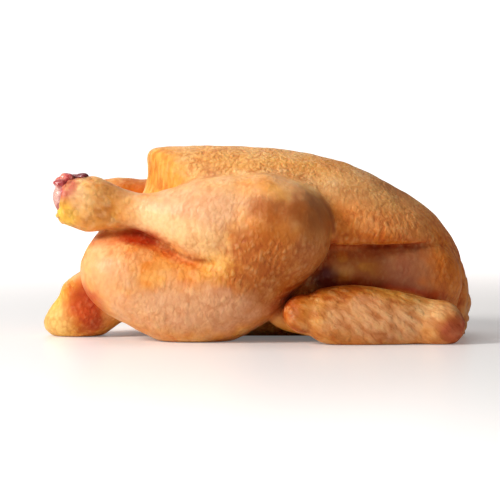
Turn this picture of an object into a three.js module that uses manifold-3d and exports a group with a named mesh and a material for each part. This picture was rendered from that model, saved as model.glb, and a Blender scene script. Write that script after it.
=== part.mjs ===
// A whole raw chicken, ready for the oven, lying on its back with its legs folded over its body.
// Lengths are in millimetres. +X runs from the tail to the neck, +Z is up, and -Y is the near side.
//
// The bird is one piece of meat and skin, so it is one closed solid. Each muscle group is a signed
// distance field, negative inside. The fields are joined with soft seams, and the zero surface of the
// sum is meshed on a grid. The floor plane then cuts the small flat patches that the bird rests on.

import * as THREE from "three";
import { mergeVertices } from "three/addons/utils/BufferGeometryUtils.js";
import Module from "manifold-3d";

// Driving dimensions of the carcass.
const BREAST_TOP = 118;
const BREAST_LOW = 22;
const BREAST_SWELL_X = -30;
const NECK_END_X = 131;
const KEEL_TIP_X = -66;
const BREAST_HALF_WIDTH = 61;
const BREAST_WIDEST_X = 45;
const BREAST_WIDEST_Z = 66;
// Powers of the breast's curves: 2 is an ellipse, and more is fuller.
const BREAST_PROFILE_POWER = 2.3;
const BREAST_UPPER_POWER = 2.25;
const BREAST_LOWER_POWER = 1.75;
const BREAST_LENGTH_BEHIND = 150;
// The rear wall leans back towards its top and bows around the middle line.
const REAR_WALL_LEAN = 0.08;
const REAR_WALL_BOW = 0.012;

const DRUMSTICK_HOCK = new THREE.Vector3(-112, 42, 84.5);
const DRUMSTICK_KNEE = new THREE.Vector3(17, 56, 64);
const HOCK_CUT_X = -118;
// Each row is a share of the way from hock to knee, then the upright and the sideways radius there.
const DRUMSTICK_GIRTH = [
  [0, 14.5, 13.5],
  [0.1, 17, 14.5],
  [0.23, 12.2, 11.5],
  [0.34, 12, 12],
  [0.46, 17.5, 17],
  [0.6, 26, 22],
  [0.8, 32, 25],
  [1, 33.5, 24.5],
];

const WING_SHOULDER = new THREE.Vector3(98, 36, 42);
const WING_ELBOW = new THREE.Vector3(36, 54, 40);
const FOREARM_ELBOW = new THREE.Vector3(33, 70, 18);
const FOREARM_WRIST = new THREE.Vector3(111, 62, 13);

// The far leg is folded a little tighter than the near one, and the far wing sits further back.
const FAR_HOCK_LIFT = 2;
const FAR_HOCK_AHEAD = 9;
const FAR_WING_BACK = 3;
// The far leg's tighter fold grows from the knee to the hock, and its upper half moves most.
const FAR_FOLD_X = [20, -100];
const FAR_FOLD_Z = [55, 75];

// The skin dips a little along the breastbone, between the two breast muscles.
const KEEL_FURROW = 1.6;
const KEEL_FURROW_WIDTH = 12;

// Widths of the soft seams between neighbours, and of the rounded lips around cuts.
const SEAM = {
  pelvis: 16,
  bellyFlap: 22,
  tail: 8,
  tailTip: 14,
  ventRim: 10,
  neckRoll: 10,
  limb: 8,
  thigh: 20,
  kneeFold: 24,
  rump: 14,
  shoulder: 16,
  armpit: 8,
  wingTip: 9,
  vent: 10,
};
const LIP = { rearWall: 14, hockCut: 5, vent: 8 };
// The crease between thigh and drumstick is tight at the rear and closes towards the knee.
const CREASE = { rear: 8, knee: 20, rearX: -40, kneeX: 5 };

const VENT_HALF_WIDTH = 24;
const VENT_HALF_HEIGHT = 18;
const CAVITY_MIDDLE = [-18, 0, 48];
const CAVITY_RADII = [76, 38, 33];

const GRID_STEP = 6.9;
const GRID_LOW = new THREE.Vector3(-146, -96, -22);
const GRID_HIGH = new THREE.Vector3(146, 96, 134);
// Half the distance between the two readings that give the field's slope.
const PROBE = 0.05;
// The four cells around a grid edge, in turning order, as steps back along the two axes across the edge.
const RING = [
  [0, 0],
  [1, 0],
  [1, 1],
  [0, 1],
];

/** Distance to an ellipsoid, close to true near its surface. */
function ovoid(u, v, w, ru, rv, rw) {
  const near = Math.hypot(u / ru, v / rv, w / rw);
  const slope = Math.hypot(u / (ru * ru), v / (rv * rv), w / (rw * rw));
  return slope < 1e-9 ? -Math.min(ru, rv, rw) : (near * (near - 1)) / slope;
}

/** Joins two fields with a seam as wide as blend. */
function join(a, b, blend) {
  const h = Math.max(blend - Math.abs(a - b), 0) / blend;
  return Math.min(a, b) - (h * h * blend) / 4;
}

/** Cuts field b out of field a, with the lip rounded by blend. */
function carve(a, b, blend) {
  return -join(-a, b, blend);
}

/** Eased step from 0 at low to 1 at high; high may be the smaller one. */
function smoothStep(low, high, value) {
  const t = Math.min(Math.max((value - low) / (high - low), 0), 1);
  return t * t * (3 - 2 * t);
}

/** Smooth curve through one column of rows that start with t, level at both ends. */
function readRows(rows, t, column) {
  let i = 0;
  while (i < rows.length - 2 && t > rows[i + 1][0]) i++;
  const slopeAt = (j) => {
    if (j === 0 || j === rows.length - 1) return 0;
    return (rows[j + 1][column] - rows[j - 1][column]) / (rows[j + 1][0] - rows[j - 1][0]);
  };
  const span = rows[i + 1][0] - rows[i][0];
  const s = (t - rows[i][0]) / span;
  const s2 = s * s;
  const s3 = s2 * s;
  return (
    (2 * s3 - 3 * s2 + 1) * rows[i][column] +
    (s3 - 2 * s2 + s) * span * slopeAt(i) +
    (3 * s2 - 2 * s3) * rows[i + 1][column] +
    (s3 - s2) * span * slopeAt(i + 1)
  );
}

/** A limb from a to b whose upright and sideways radii follow rows, with rounded ends. */
function makeLimb(a, b, rows, cap) {
  const along = b.clone().sub(a);
  const length = along.length();
  along.normalize();
  const side = new THREE.Vector3(0, 0, 1).cross(along).normalize();
  const up = along.clone().cross(side);
  return (x, y, z) => {
    const px = x - a.x;
    const py = y - a.y;
    const pz = z - a.z;
    const run = px * along.x + py * along.y + pz * along.z;
    const t = Math.min(Math.max(run / length, 0), 1);
    const ru = readRows(rows, t, 1);
    const rs = readRows(rows, t, 2);
    const u = px * up.x + py * up.y + pz * up.z;
    const v = px * side.x + py * side.y + pz * side.z;
    const past = run - t * length;
    return ovoid(u, v, past, ru, rs, cap * Math.min(ru, rs));
  };
}

/** An ellipsoid, pitched up towards the neck and yawed outwards by so many degrees. */
function makeLump([cx, cy, cz], [rx, ry, rz], pitch = 0, yaw = 0) {
  const turn = new THREE.Matrix4().makeRotationFromEuler(
    new THREE.Euler(0, -THREE.MathUtils.degToRad(pitch), THREE.MathUtils.degToRad(yaw), "ZYX"),
  );
  const e = turn.elements;
  return (x, y, z) => {
    const px = x - cx;
    const py = y - cy;
    const pz = z - cz;
    return ovoid(
      px * e[0] + py * e[1] + pz * e[2],
      px * e[4] + py * e[5] + pz * e[6],
      px * e[8] + py * e[9] + pz * e[10],
      rx,
      ry,
      rz,
    );
  };
}

/** Share of the breast's full height or width that is left at a share t of the way to its end. */
function profile(t) {
  const left = Math.max(1 - Math.pow(Math.abs(t), BREAST_PROFILE_POWER), 0);
  return Math.pow(left, 1 / BREAST_PROFILE_POWER);
}

/** Half width of the breast seen from above. */
function breastHalfWidth(x) {
  const reach = x > BREAST_WIDEST_X ? NECK_END_X - BREAST_WIDEST_X : BREAST_LENGTH_BEHIND;
  return BREAST_HALF_WIDTH * profile((x - BREAST_WIDEST_X) / reach);
}

/** Height of the keel line above the table. */
function breastTop(x) {
  const t = (x - BREAST_SWELL_X) / (NECK_END_X - BREAST_SWELL_X);
  return BREAST_LOW + (BREAST_TOP - BREAST_LOW) * profile(t);
}

/** Radius of the breast's cross section at x, in the direction of (y, z) from its middle line. */
function breastReach(x, y, z) {
  const top = breastTop(x);
  const middle = join(BREAST_WIDEST_Z, BREAST_LOW + 0.55 * (top - BREAST_LOW), 16);
  const low = -2 + 10 * smoothStep(-35, -70, x);
  const rise = z > middle ? top - middle : middle - low;
  const width = breastHalfWidth(x);
  const power = z > middle ? BREAST_UPPER_POWER : BREAST_LOWER_POWER;
  const r = Math.max(Math.hypot(y, z - middle), 1e-6);
  const k = Math.pow(
    Math.pow(Math.abs(y) / Math.max(width, 0.5), power) +
      Math.pow(Math.abs(z - middle) / Math.max(rise, 0.5), power),
    1 / power,
  );
  return [r, r / Math.max(k, 1e-6)];
}

/** The breast: a long dome that falls to the neck and ends square at the keel's tip. */
function breast(x, y, z) {
  const inside = Math.min(Math.max(x, KEEL_TIP_X - 20), NECK_END_X - 1);
  const [r, reach] = breastReach(inside, y, z);
  const reachOn = breastReach(Math.min(inside + 1, NECK_END_X - 0.5), y, z)[1];
  const slope = reach - reachOn;
  const shell = (r - reach) / Math.hypot(1, Math.min(Math.abs(slope), 4));
  const past = Math.max(x - inside, 0);
  const dome = past > 0 ? Math.hypot(Math.max(shell, 0), past) : shell;
  const furrow = KEEL_FURROW * Math.exp(-((y / KEEL_FURROW_WIDTH) ** 2));
  const rearWall = x - KEEL_TIP_X + REAR_WALL_LEAN * (z - BREAST_TOP) - REAR_WALL_BOW * y * y;
  return carve(dome + furrow, rearWall, LIP.rearWall);
}

// The trunk.
const pelvis = makeLump([-48, 0, 37], [58, 46, 31]);
const bellyFlap = makeLump([-66, 0, 69], [19, 34, 12], 38);
const neckRoll = makeLump([112, 0, 20], [19, 40, 18]);
const tailBase = makeLump([-102, 0, 17], [24, 22, 17], 14);
const tailTip = makeLump([-114, 0, 9], [16, 14, 10.5], 6);
const ventRim = makeLimb(
  new THREE.Vector3(-86, 30, 58),
  new THREE.Vector3(-107, 12, 27),
  [
    [0, 10, 9],
    [1, 8, 8],
  ],
  1,
);

// One leg, on the side with y above 0.
const thighRear = makeLump([-58, 43, 32], [46, 27, 28], -9, -4);
const thighFront = makeLump([-18, 47, 31], [42, 29, 30.5], 8);
const kneeFold = makeLump([15, 54, 48], [27, 25, 34], 14);
const rump = makeLump([-79, 30, 42], [27.5, 23, 27], -16);
const drumstick = makeLimb(DRUMSTICK_HOCK, DRUMSTICK_KNEE, DRUMSTICK_GIRTH, 1);

// One wing, on the same side.
const shoulder = makeLump([95, 38, 36], [30, 19, 25]);
const armpit = makeLump([70, 48, 17], [48, 15, 16], 0, -5);
const wingTip = makeLump([111, 66, 9.5], [12, 8.5, 9], 0, -6);
const upperArm = makeLimb(
  WING_ELBOW,
  WING_SHOULDER,
  [
    [0, 16, 13],
    [0.5, 15.5, 13],
    [1, 17.5, 16],
  ],
  1,
);
const forearm = makeLimb(
  FOREARM_ELBOW,
  FOREARM_WRIST,
  [
    [0, 14, 11],
    [0.25, 18, 13],
    [0.5, 18.2, 13],
    [0.75, 15.5, 12],
    [1, 12.8, 10],
  ],
  1.25,
);

// The emptied inside and the vent that opens it at the tail end.
const cavity = makeLump(CAVITY_MIDDLE, CAVITY_RADII);
const vent = makeLimb(
  new THREE.Vector3(-125, 0, 56),
  new THREE.Vector3(-60, 0, 48),
  [
    [0, VENT_HALF_HEIGHT + 3, VENT_HALF_WIDTH + 4],
    [0.5, VENT_HALF_HEIGHT, VENT_HALF_WIDTH],
    [1, VENT_HALF_HEIGHT + 2, VENT_HALF_WIDTH],
  ],
  1,
);

/** One leg: the thigh lies on the floor, and the drumstick is folded back over it. */
function leg(x, y, z) {
  let thigh = join(thighRear(x, y, z), thighFront(x, y, z), SEAM.thigh);
  thigh = join(thigh, kneeFold(x, y, z), SEAM.kneeFold);
  thigh = join(thigh, rump(x, y, z), SEAM.rump);
  const crease = CREASE.rear + (CREASE.knee - CREASE.rear) * smoothStep(CREASE.rearX, CREASE.kneeX, x);
  const shank = carve(drumstick(x, y, z), x - HOCK_CUT_X, LIP.hockCut);
  return join(thigh, shank, crease);
}

/** One folded wing: the upper arm lies above the forearm, and the armpit fills the gap. */
function wing(x, y, z) {
  const hand = join(forearm(x, y, z), wingTip(x, y, z), SEAM.wingTip);
  const arm = join(upperArm(x, y, z), shoulder(x, y, z), SEAM.shoulder);
  return join(join(arm, armpit(x, y, z), SEAM.armpit), hand, SEAM.limb);
}

/** The body without its limbs. */
function trunk(x, y, z) {
  let d = join(breast(x, y, z), pelvis(x, y, z), SEAM.pelvis);
  d = join(d, bellyFlap(x, y, z), SEAM.bellyFlap);
  d = join(d, join(tailBase(x, y, z), tailTip(x, y, z), SEAM.tailTip), SEAM.tail);
  d = join(d, ventRim(x, Math.abs(y), z), SEAM.ventRim);
  return join(d, neckRoll(x, y, z), SEAM.neckRoll);
}

/** The whole bird: below zero inside the meat. Each limb is read at a mirrored y for the other side. */
function bird(x, y, z) {
  const w = Math.abs(y);
  const far = y > 0 ? 1 : 0;
  const fold = far * smoothStep(...FAR_FOLD_X, x);
  const ahead = FAR_HOCK_AHEAD * fold * smoothStep(...FAR_FOLD_Z, z);
  let d = join(trunk(x, y, z), wing(x + FAR_WING_BACK * far, w, z), SEAM.limb);
  d = join(d, leg(x - ahead, w, z - FAR_HOCK_LIFT * fold), SEAM.limb);
  const hollow = join(cavity(x, y, z), vent(x, y, z), SEAM.vent);
  return carve(d, hollow, LIP.vent);
}

/** Corner of the grid with the given whole-number place. */
function gridPoint(i, j, k) {
  return new THREE.Vector3(i, j, k).multiplyScalar(GRID_STEP).add(GRID_LOW);
}

/** Reads the field at every corner of the grid. */
function readGrid(field) {
  const size = GRID_HIGH.clone().sub(GRID_LOW).divideScalar(GRID_STEP).ceil().addScalar(1);
  const values = [];
  for (let i = 0; i < size.x; i++) {
    for (let j = 0; j < size.y; j++) {
      for (let k = 0; k < size.z; k++) {
        const p = gridPoint(i, j, k);
        values.push(field(p.x, p.y, p.z));
      }
    }
  }
  return { size, values, index: (i, j, k) => (i * size.y + j) * size.z + k };
}

/** Grid corners of the square that lies across the given axis. */
function squareCorners(grid, place, axis) {
  return RING.map(([back, across]) => {
    const corner = [...place];
    corner[(axis + 1) % 3] += back;
    corner[(axis + 2) % 3] += across;
    return grid.index(...corner);
  });
}

/** Fills the grid corners where two folds of skin would meet along a single edge of the mesh. */
function closePinches(grid) {
  let filled = 1;
  while (filled > 0) {
    filled = 0;
    for (let i = 0; i < grid.size.x - 1; i++) {
      for (let j = 0; j < grid.size.y - 1; j++) {
        for (let k = 0; k < grid.size.z - 1; k++) {
          for (let axis = 0; axis < 3; axis++) {
            const corners = squareCorners(grid, [i, j, k], axis);
            const [a, b, c, d] = corners.map((corner) => grid.values[corner] < 0);
            if (a !== c || b !== d || a === b) continue;
            const open = a ? [corners[1], corners[3]] : [corners[0], corners[2]];
            open.sort((one, other) => grid.values[one] - grid.values[other]);
            grid.values[open[0]] = -0.1 * GRID_STEP;
            filled += 1;
          }
        }
      }
    }
  }
}

/** Moves a point along the field's slope until it lies on the zero surface. */
function settle(field, point) {
  const reach = 0.3 * GRID_STEP;
  const start = point.clone();
  for (let turn = 0; turn < 4; turn++) {
    const { x, y, z } = point;
    const value = field(x, y, z);
    const slope = new THREE.Vector3(
      field(x + PROBE, y, z) - field(x - PROBE, y, z),
      field(x, y + PROBE, z) - field(x, y - PROBE, z),
      field(x, y, z + PROBE) - field(x, y, z - PROBE),
    ).divideScalar(2 * PROBE);
    point.addScaledVector(slope, -value / Math.max(slope.lengthSq(), 0.2));
  }
  return point.sub(start).clampLength(0, reach).add(start);
}

/** Middle of the places where the surface crosses the edges of one grid cell, or null if it has none. */
function cellPoint(grid, i, j, k) {
  const sum = new THREE.Vector3();
  let crossings = 0;
  for (let axis = 0; axis < 3; axis++) {
    for (let side = 0; side < 4; side++) {
      const corner = [i, j, k];
      corner[(axis + 1) % 3] += side & 1;
      corner[(axis + 2) % 3] += side >> 1;
      const far = [...corner];
      far[axis] += 1;
      const a = grid.values[grid.index(...corner)];
      const b = grid.values[grid.index(...far)];
      if (a < 0 === b < 0) continue;
      sum.add(gridPoint(...corner).lerp(gridPoint(...far), a / (a - b)));
      crossings += 1;
    }
  }
  return crossings > 0 ? sum.divideScalar(crossings) : null;
}

/** Meshes the zero surface: a point in each cell that it passes, two triangles on each crossed edge. */
function skin(field) {
  const grid = readGrid(field);
  closePinches(grid);
  const points = [];
  const pointOf = new Map();
  for (let i = 0; i < grid.size.x - 1; i++) {
    for (let j = 0; j < grid.size.y - 1; j++) {
      for (let k = 0; k < grid.size.z - 1; k++) {
        const point = cellPoint(grid, i, j, k);
        if (point === null) continue;
        pointOf.set(grid.index(i, j, k), points.length);
        points.push(settle(field, point));
      }
    }
  }
  const triangles = [];
  for (let i = 1; i < grid.size.x - 1; i++) {
    for (let j = 1; j < grid.size.y - 1; j++) {
      for (let k = 1; k < grid.size.z - 1; k++) {
        for (let axis = 0; axis < 3; axis++) {
          const near = [i, j, k];
          const far = [...near];
          far[axis] += 1;
          const inside = grid.values[grid.index(...near)] < 0;
          if (inside === grid.values[grid.index(...far)] < 0) continue;
          const ring = RING.map(([back, across]) => {
            const cell = [...near];
            cell[(axis + 1) % 3] -= back;
            cell[(axis + 2) % 3] -= across;
            return pointOf.get(grid.index(...cell));
          });
          if (!inside) ring.reverse();
          const [a, b, c, d] = ring;
          const split = points[a].distanceTo(points[c]) < points[b].distanceTo(points[d]);
          triangles.push(...(split ? [a, b, c, a, c, d] : [a, b, d, b, c, d]));
        }
      }
    }
  }
  return { points, triangles };
}

const manifold = await Module();
manifold.setup();

/** Makes a closed solid that can be cut, from points and triangles. */
function toSolid(points, triangles) {
  const vertProperties = new Float32Array(points.flatMap((p) => [p.x, p.y, p.z]));
  const triVerts = new Uint32Array(triangles);
  return new manifold.Manifold(new manifold.Mesh({ numProp: 3, vertProperties, triVerts }));
}

/** A block with its top face level with the floor, larger than the bird. */
function makeFloorBlock() {
  const side = 2 * (GRID_HIGH.x - GRID_LOW.x);
  const box = new THREE.BoxGeometry(side, side, side).translate(0, 0, -side / 2);
  box.deleteAttribute("normal");
  box.deleteAttribute("uv");
  const merged = mergeVertices(box);
  const points = [];
  for (let i = 0; i < merged.attributes.position.count; i++) {
    points.push(new THREE.Vector3().fromBufferAttribute(merged.attributes.position, i));
  }
  return toSolid(points, [...merged.index.array]);
}

/** Cuts the meshed bird level with the floor and centres it above the origin. */
function standOnFloor({ points, triangles }) {
  const mesh = toSolid(points, triangles).subtract(makeFloorBlock()).getMesh();
  const geometry = new THREE.BufferGeometry();
  geometry.setAttribute("position", new THREE.Float32BufferAttribute(mesh.vertProperties, 3));
  geometry.setIndex(new THREE.Uint32BufferAttribute(mesh.triVerts, 1));
  geometry.computeBoundingBox();
  const { min, max } = geometry.boundingBox;
  geometry.translate(-(min.x + max.x) / 2, -(min.y + max.y) / 2, 0);
  geometry.computeVertexNormals();
  return geometry;
}

const skinTone = new THREE.MeshStandardMaterial({ color: 0xe0ac74, roughness: 0.5 });
const chicken = new THREE.Mesh(standOnFloor(skin(bird)), skinTone);
chicken.name = "chicken";

const object = new THREE.Group();
object.name = "raw_chicken";
object.add(chicken);
export default object;
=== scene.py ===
"""A whole raw chicken on its back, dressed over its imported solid.

The bird is built from the same muscle groups as the solid: each is a signed distance field in
millimetres, negative inside, joined with soft seams. +X runs from the tail to the neck, +Z is up
and -Y is the near side. Meshes are made in millimetres and placed in metres.
"""

from __future__ import annotations

import logging
import math
from dataclasses import dataclass, field
from enum import Enum
from typing import Callable, Sequence

import bpy
import numpy as np
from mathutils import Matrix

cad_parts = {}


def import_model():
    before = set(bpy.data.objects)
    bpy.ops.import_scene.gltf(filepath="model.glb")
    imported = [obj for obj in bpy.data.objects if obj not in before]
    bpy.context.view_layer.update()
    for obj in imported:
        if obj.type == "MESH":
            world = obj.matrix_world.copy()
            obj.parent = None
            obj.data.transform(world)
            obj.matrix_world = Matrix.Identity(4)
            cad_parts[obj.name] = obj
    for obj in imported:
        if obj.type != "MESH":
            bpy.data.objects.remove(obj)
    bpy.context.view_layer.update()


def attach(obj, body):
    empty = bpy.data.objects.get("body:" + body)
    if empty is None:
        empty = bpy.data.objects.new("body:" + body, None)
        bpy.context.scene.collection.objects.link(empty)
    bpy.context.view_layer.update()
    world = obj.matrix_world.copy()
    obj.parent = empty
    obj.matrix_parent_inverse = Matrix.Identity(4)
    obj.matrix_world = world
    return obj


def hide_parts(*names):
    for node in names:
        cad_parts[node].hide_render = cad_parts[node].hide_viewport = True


LOG = logging.getLogger("chicken")
MM = 0.001
Row = tuple[float, float, float]
Point = tuple[float, float, float]
Reader = Callable[[np.ndarray, np.ndarray, np.ndarray], np.ndarray]
Size = float | np.ndarray
Socket = bpy.types.NodeSocket
Value = float | bpy.types.NodeSocket
Tint = tuple[float, float, float, float] | bpy.types.NodeSocket


def join(a: np.ndarray, b: np.ndarray, blend: Size) -> np.ndarray:
    """Joins two fields with a soft seam.

    Args:
        a: First field.
        b: Second field.
        blend: Width of the seam in millimetres.

    Returns:
        The joined field.
    """
    h = np.maximum(blend - np.abs(a - b), 0) / blend
    return np.minimum(a, b) - h * h * blend / 4


def carve(a: np.ndarray, b: np.ndarray, blend: float) -> np.ndarray:
    """Cuts field b out of field a, with a rounded lip.

    Args:
        a: Field that is cut.
        b: Field that cuts.
        blend: Width of the rounding in millimetres.

    Returns:
        The cut field.
    """
    return -join(-a, b, blend)


def ease(low: float, high: float, value: np.ndarray) -> np.ndarray:
    """Smooth step from 0 at low to 1 at high.

    Args:
        low: Value that gives 0.
        high: Value that gives 1; it may be below low.
        value: Values to read.

    Returns:
        The eased share of each value.
    """
    t = np.clip((value - low) / (high - low), 0, 1)
    return t * t * (3 - 2 * t)


def grooved(body: np.ndarray, limb: np.ndarray, width: float, share: np.ndarray) -> np.ndarray:
    """Presses a narrow groove into the body all around a limb that lies on it.

    Args:
        body: Field of the body.
        limb: Field of the limb.
        width: Width of the groove in millimetres.
        share: Where the groove is open: 0 for nowhere, 1 for all of it.

    Returns:
        The grooved body.
    """
    shut, lip = 8.0, 3.0
    return carve(body, limb + shut - (width + shut) * share, lip)


def ovoid(u: np.ndarray, v: np.ndarray, w: np.ndarray, ru: Size, rv: Size, rw: Size) -> np.ndarray:
    """Distance to an ellipsoid, close to true near its surface.

    Args:
        u: First coordinate from its middle.
        v: Second coordinate.
        w: Third coordinate.
        ru: First radius.
        rv: Second radius.
        rw: Third radius.

    Returns:
        The field in millimetres.
    """
    a, b, c = u / ru, v / rv, w / rw
    near = np.sqrt(a * a + b * b + c * c)
    slope = np.sqrt((a / ru) ** 2 + (b / rv) ** 2 + (c / rw) ** 2)
    return near * (near - 1) / np.maximum(slope, 1e-6)


@dataclass(frozen=True)
class Lump:
    """An ellipsoid, pitched up towards the neck and yawed outwards."""

    centre: Point
    radii: Point
    pitch: float = 0.0
    yaw: float = 0.0

    def distance(self, x: np.ndarray, y: np.ndarray, z: np.ndarray) -> np.ndarray:
        """Reads the lump's field.

        Args:
            x: X of the points.
            y: Y of the points.
            z: Z of the points.

        Returns:
            The field at each point.
        """
        cp, sp = math.cos(math.radians(self.pitch)), math.sin(math.radians(self.pitch))
        cw, sw = math.cos(math.radians(self.yaw)), math.sin(math.radians(self.yaw))
        px, py, pz = x - self.centre[0], y - self.centre[1], z - self.centre[2]
        u = px * (cp * cw) + py * (cp * sw) + pz * sp
        v = py * cw - px * sw
        w = pz * cp - px * (sp * cw) - py * (sp * sw)
        return ovoid(u, v, w, *self.radii)


@dataclass(frozen=True)
class Limb:
    """A swept limb, with rows of (share of the way, upright radius, sideways radius)."""

    start: Point
    end: Point
    rows: Sequence[Row]
    cap: float = 1.0

    def girth(self, column: int, t: np.ndarray) -> np.ndarray:
        """Radius along the limb.

        Args:
            column: 1 for the upright radius, 2 for the sideways one.
            t: Shares of the way along the limb.

        Returns:
            Smooth curve through the rows, level at both ends.
        """
        knots = np.array(self.rows, float)
        ts, vs = knots[:, 0], knots[:, column]
        slopes = np.zeros(len(ts))
        slopes[1:-1] = (vs[2:] - vs[:-2]) / (ts[2:] - ts[:-2])
        table = np.linspace(0, 1, 257)
        i = np.clip(np.searchsorted(ts, table, side="left") - 1, 0, len(ts) - 2)
        span = ts[i + 1] - ts[i]
        s = (table - ts[i]) / span
        curve = (
            (2 * s**3 - 3 * s**2 + 1) * vs[i]
            + (s**3 - 2 * s**2 + s) * span * slopes[i]
            + (3 * s**2 - 2 * s**3) * vs[i + 1]
            + (s**3 - s**2) * span * slopes[i + 1]
        )
        return np.interp(t, table, curve).astype(np.float32)

    def distance(self, x: np.ndarray, y: np.ndarray, z: np.ndarray) -> np.ndarray:
        """Reads the limb's field.

        Args:
            x: X of the points.
            y: Y of the points.
            z: Z of the points.

        Returns:
            The field at each point.
        """
        a, b = np.array(self.start, float), np.array(self.end, float)
        length = float(np.linalg.norm(b - a))
        along = (b - a) / length
        side = np.cross((0, 0, 1), along)
        side /= np.linalg.norm(side)
        up = np.cross(along, side)
        px, py, pz = x - a[0], y - a[1], z - a[2]
        run = px * along[0] + py * along[1] + pz * along[2]
        t = np.clip(run / length, 0, 1)
        ru, rs = self.girth(1, t), self.girth(2, t)
        u = px * up[0] + py * up[1] + pz * up[2]
        v = px * side[0] + py * side[1] + pz * side[2]
        return ovoid(u, v, run - t * length, ru, rs, self.cap * np.minimum(ru, rs))


@dataclass(frozen=True)
class Breast:
    """The breast: a long dome that falls to the neck and ends square at the keel's tip."""

    top: float = 119.0
    low: float = 22.0
    swell_x: float = -30.0
    neck_end_x: float = 131.5
    keel_tip_x: float = -67.5
    half_width: float = 61.0
    widest_x: float = 45.0
    widest_z: float = 66.0
    shallow_share: float = 0.55
    middle_seam: float = 16.0
    pocket_lip: float = 5.0
    arch_power: float = 2.3
    side_power: float = 2.25
    under_power: float = 1.75
    belly_z: float = -2.0
    belly_rise: float = 10.0
    rear_reach: float = 150.0
    furrow: float = 1.6
    furrow_width: float = 12.0
    wall_lean: float = 0.08
    wall_bow: float = 0.012
    wall_round: float = 7.0
    slope_dip: float = 2.2
    slope_dip_x: float = 88.0
    slope_dip_width: float = 20.0
    fold_z: float = 58.5
    fold_low_z: float = 26.0
    fold_ends: tuple[float, float] = (26.0, 120.0)
    fold_inner: tuple[float, float] = (52.5, 0.2)
    fold_inner_x: float = 38.0

    def arch(self, x: np.ndarray, middle: float, span: Size) -> np.ndarray:
        """Height of the dome's long arch, 1 at its middle and 0 a span away from it."""
        t = np.abs((x - middle) / span)
        return np.maximum(1 - t**self.arch_power, 0) ** (1 / self.arch_power)

    def reach(self, x: np.ndarray, y: np.ndarray, z: np.ndarray) -> tuple[np.ndarray, np.ndarray]:
        """Cross section of the dome.

        Args:
            x: X of the section.
            y: Y of the points.
            z: Z of the points.

        Returns:
            Distance of each point from the middle line, and the section's radius in that direction.
        """
        top = self.low + (self.top - self.low) * self.arch(x, self.swell_x, self.neck_end_x - self.swell_x)
        top = top - self.slope_dip * np.exp(-(((x - self.slope_dip_x) / self.slope_dip_width) ** 2))
        shallow = self.low + self.shallow_share * (top - self.low)
        middle = join(np.full_like(top, self.widest_z), shallow, self.middle_seam)
        low = self.belly_z + self.belly_rise * ease(-35, -70, x)
        span = np.where(x > self.widest_x, self.neck_end_x - self.widest_x, self.rear_reach)
        width = self.half_width * self.arch(x, self.widest_x, span)
        upper = z > middle
        rise = np.maximum(np.where(upper, top - middle, middle - low), 0.5)
        power = np.where(upper, self.side_power, self.under_power)
        r = np.maximum(np.hypot(y, z - middle), 1e-6)
        across = np.abs(y) / np.maximum(width, 0.5)
        k = (across**power + (np.abs(z - middle) / rise) ** power) ** (1 / power)
        return r, r / np.maximum(k, 1e-6)

    def pocket(self, x: np.ndarray, y: np.ndarray, z: np.ndarray) -> np.ndarray:
        """Reads the hollow under the breast's side, where the upper arm is tucked in.

        Args:
            x: X of the points.
            y: Y of the points.
            z: Z of the points.

        Returns:
            The field at each point, below zero in the hollow.
        """
        inner, taper = self.fold_inner
        side = inner - taper * (x - self.fold_inner_x) - np.abs(y)
        ends = np.maximum(x - self.fold_ends[1], self.fold_ends[0] - x)
        return np.maximum(np.maximum(z - self.fold_z, self.fold_low_z - z), np.maximum(side, ends))

    def distance(self, x: np.ndarray, y: np.ndarray, z: np.ndarray) -> np.ndarray:
        """Reads the breast's field.

        Args:
            x: X of the points.
            y: Y of the points.
            z: Z of the points.

        Returns:
            The field at each point.
        """
        inside = np.clip(x, self.keel_tip_x - 20, self.neck_end_x - 1)
        r, reach = self.reach(inside, y, z)
        slope = reach - self.reach(np.minimum(inside + 1, self.neck_end_x - 0.5), y, z)[1]
        shell = (r - reach) / np.hypot(1, np.minimum(np.abs(slope), 4))
        past = np.maximum(x - inside, 0)
        dome = np.where(past > 0, np.hypot(np.maximum(shell, 0), past), shell)
        dome = carve(dome, self.pocket(x, y, z), self.pocket_lip)
        wall = x - self.keel_tip_x + self.wall_lean * (z - self.top) - self.wall_bow * y * y
        return carve(dome + self.furrow * np.exp(-((y / self.furrow_width) ** 2)), wall, self.wall_round)


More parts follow.
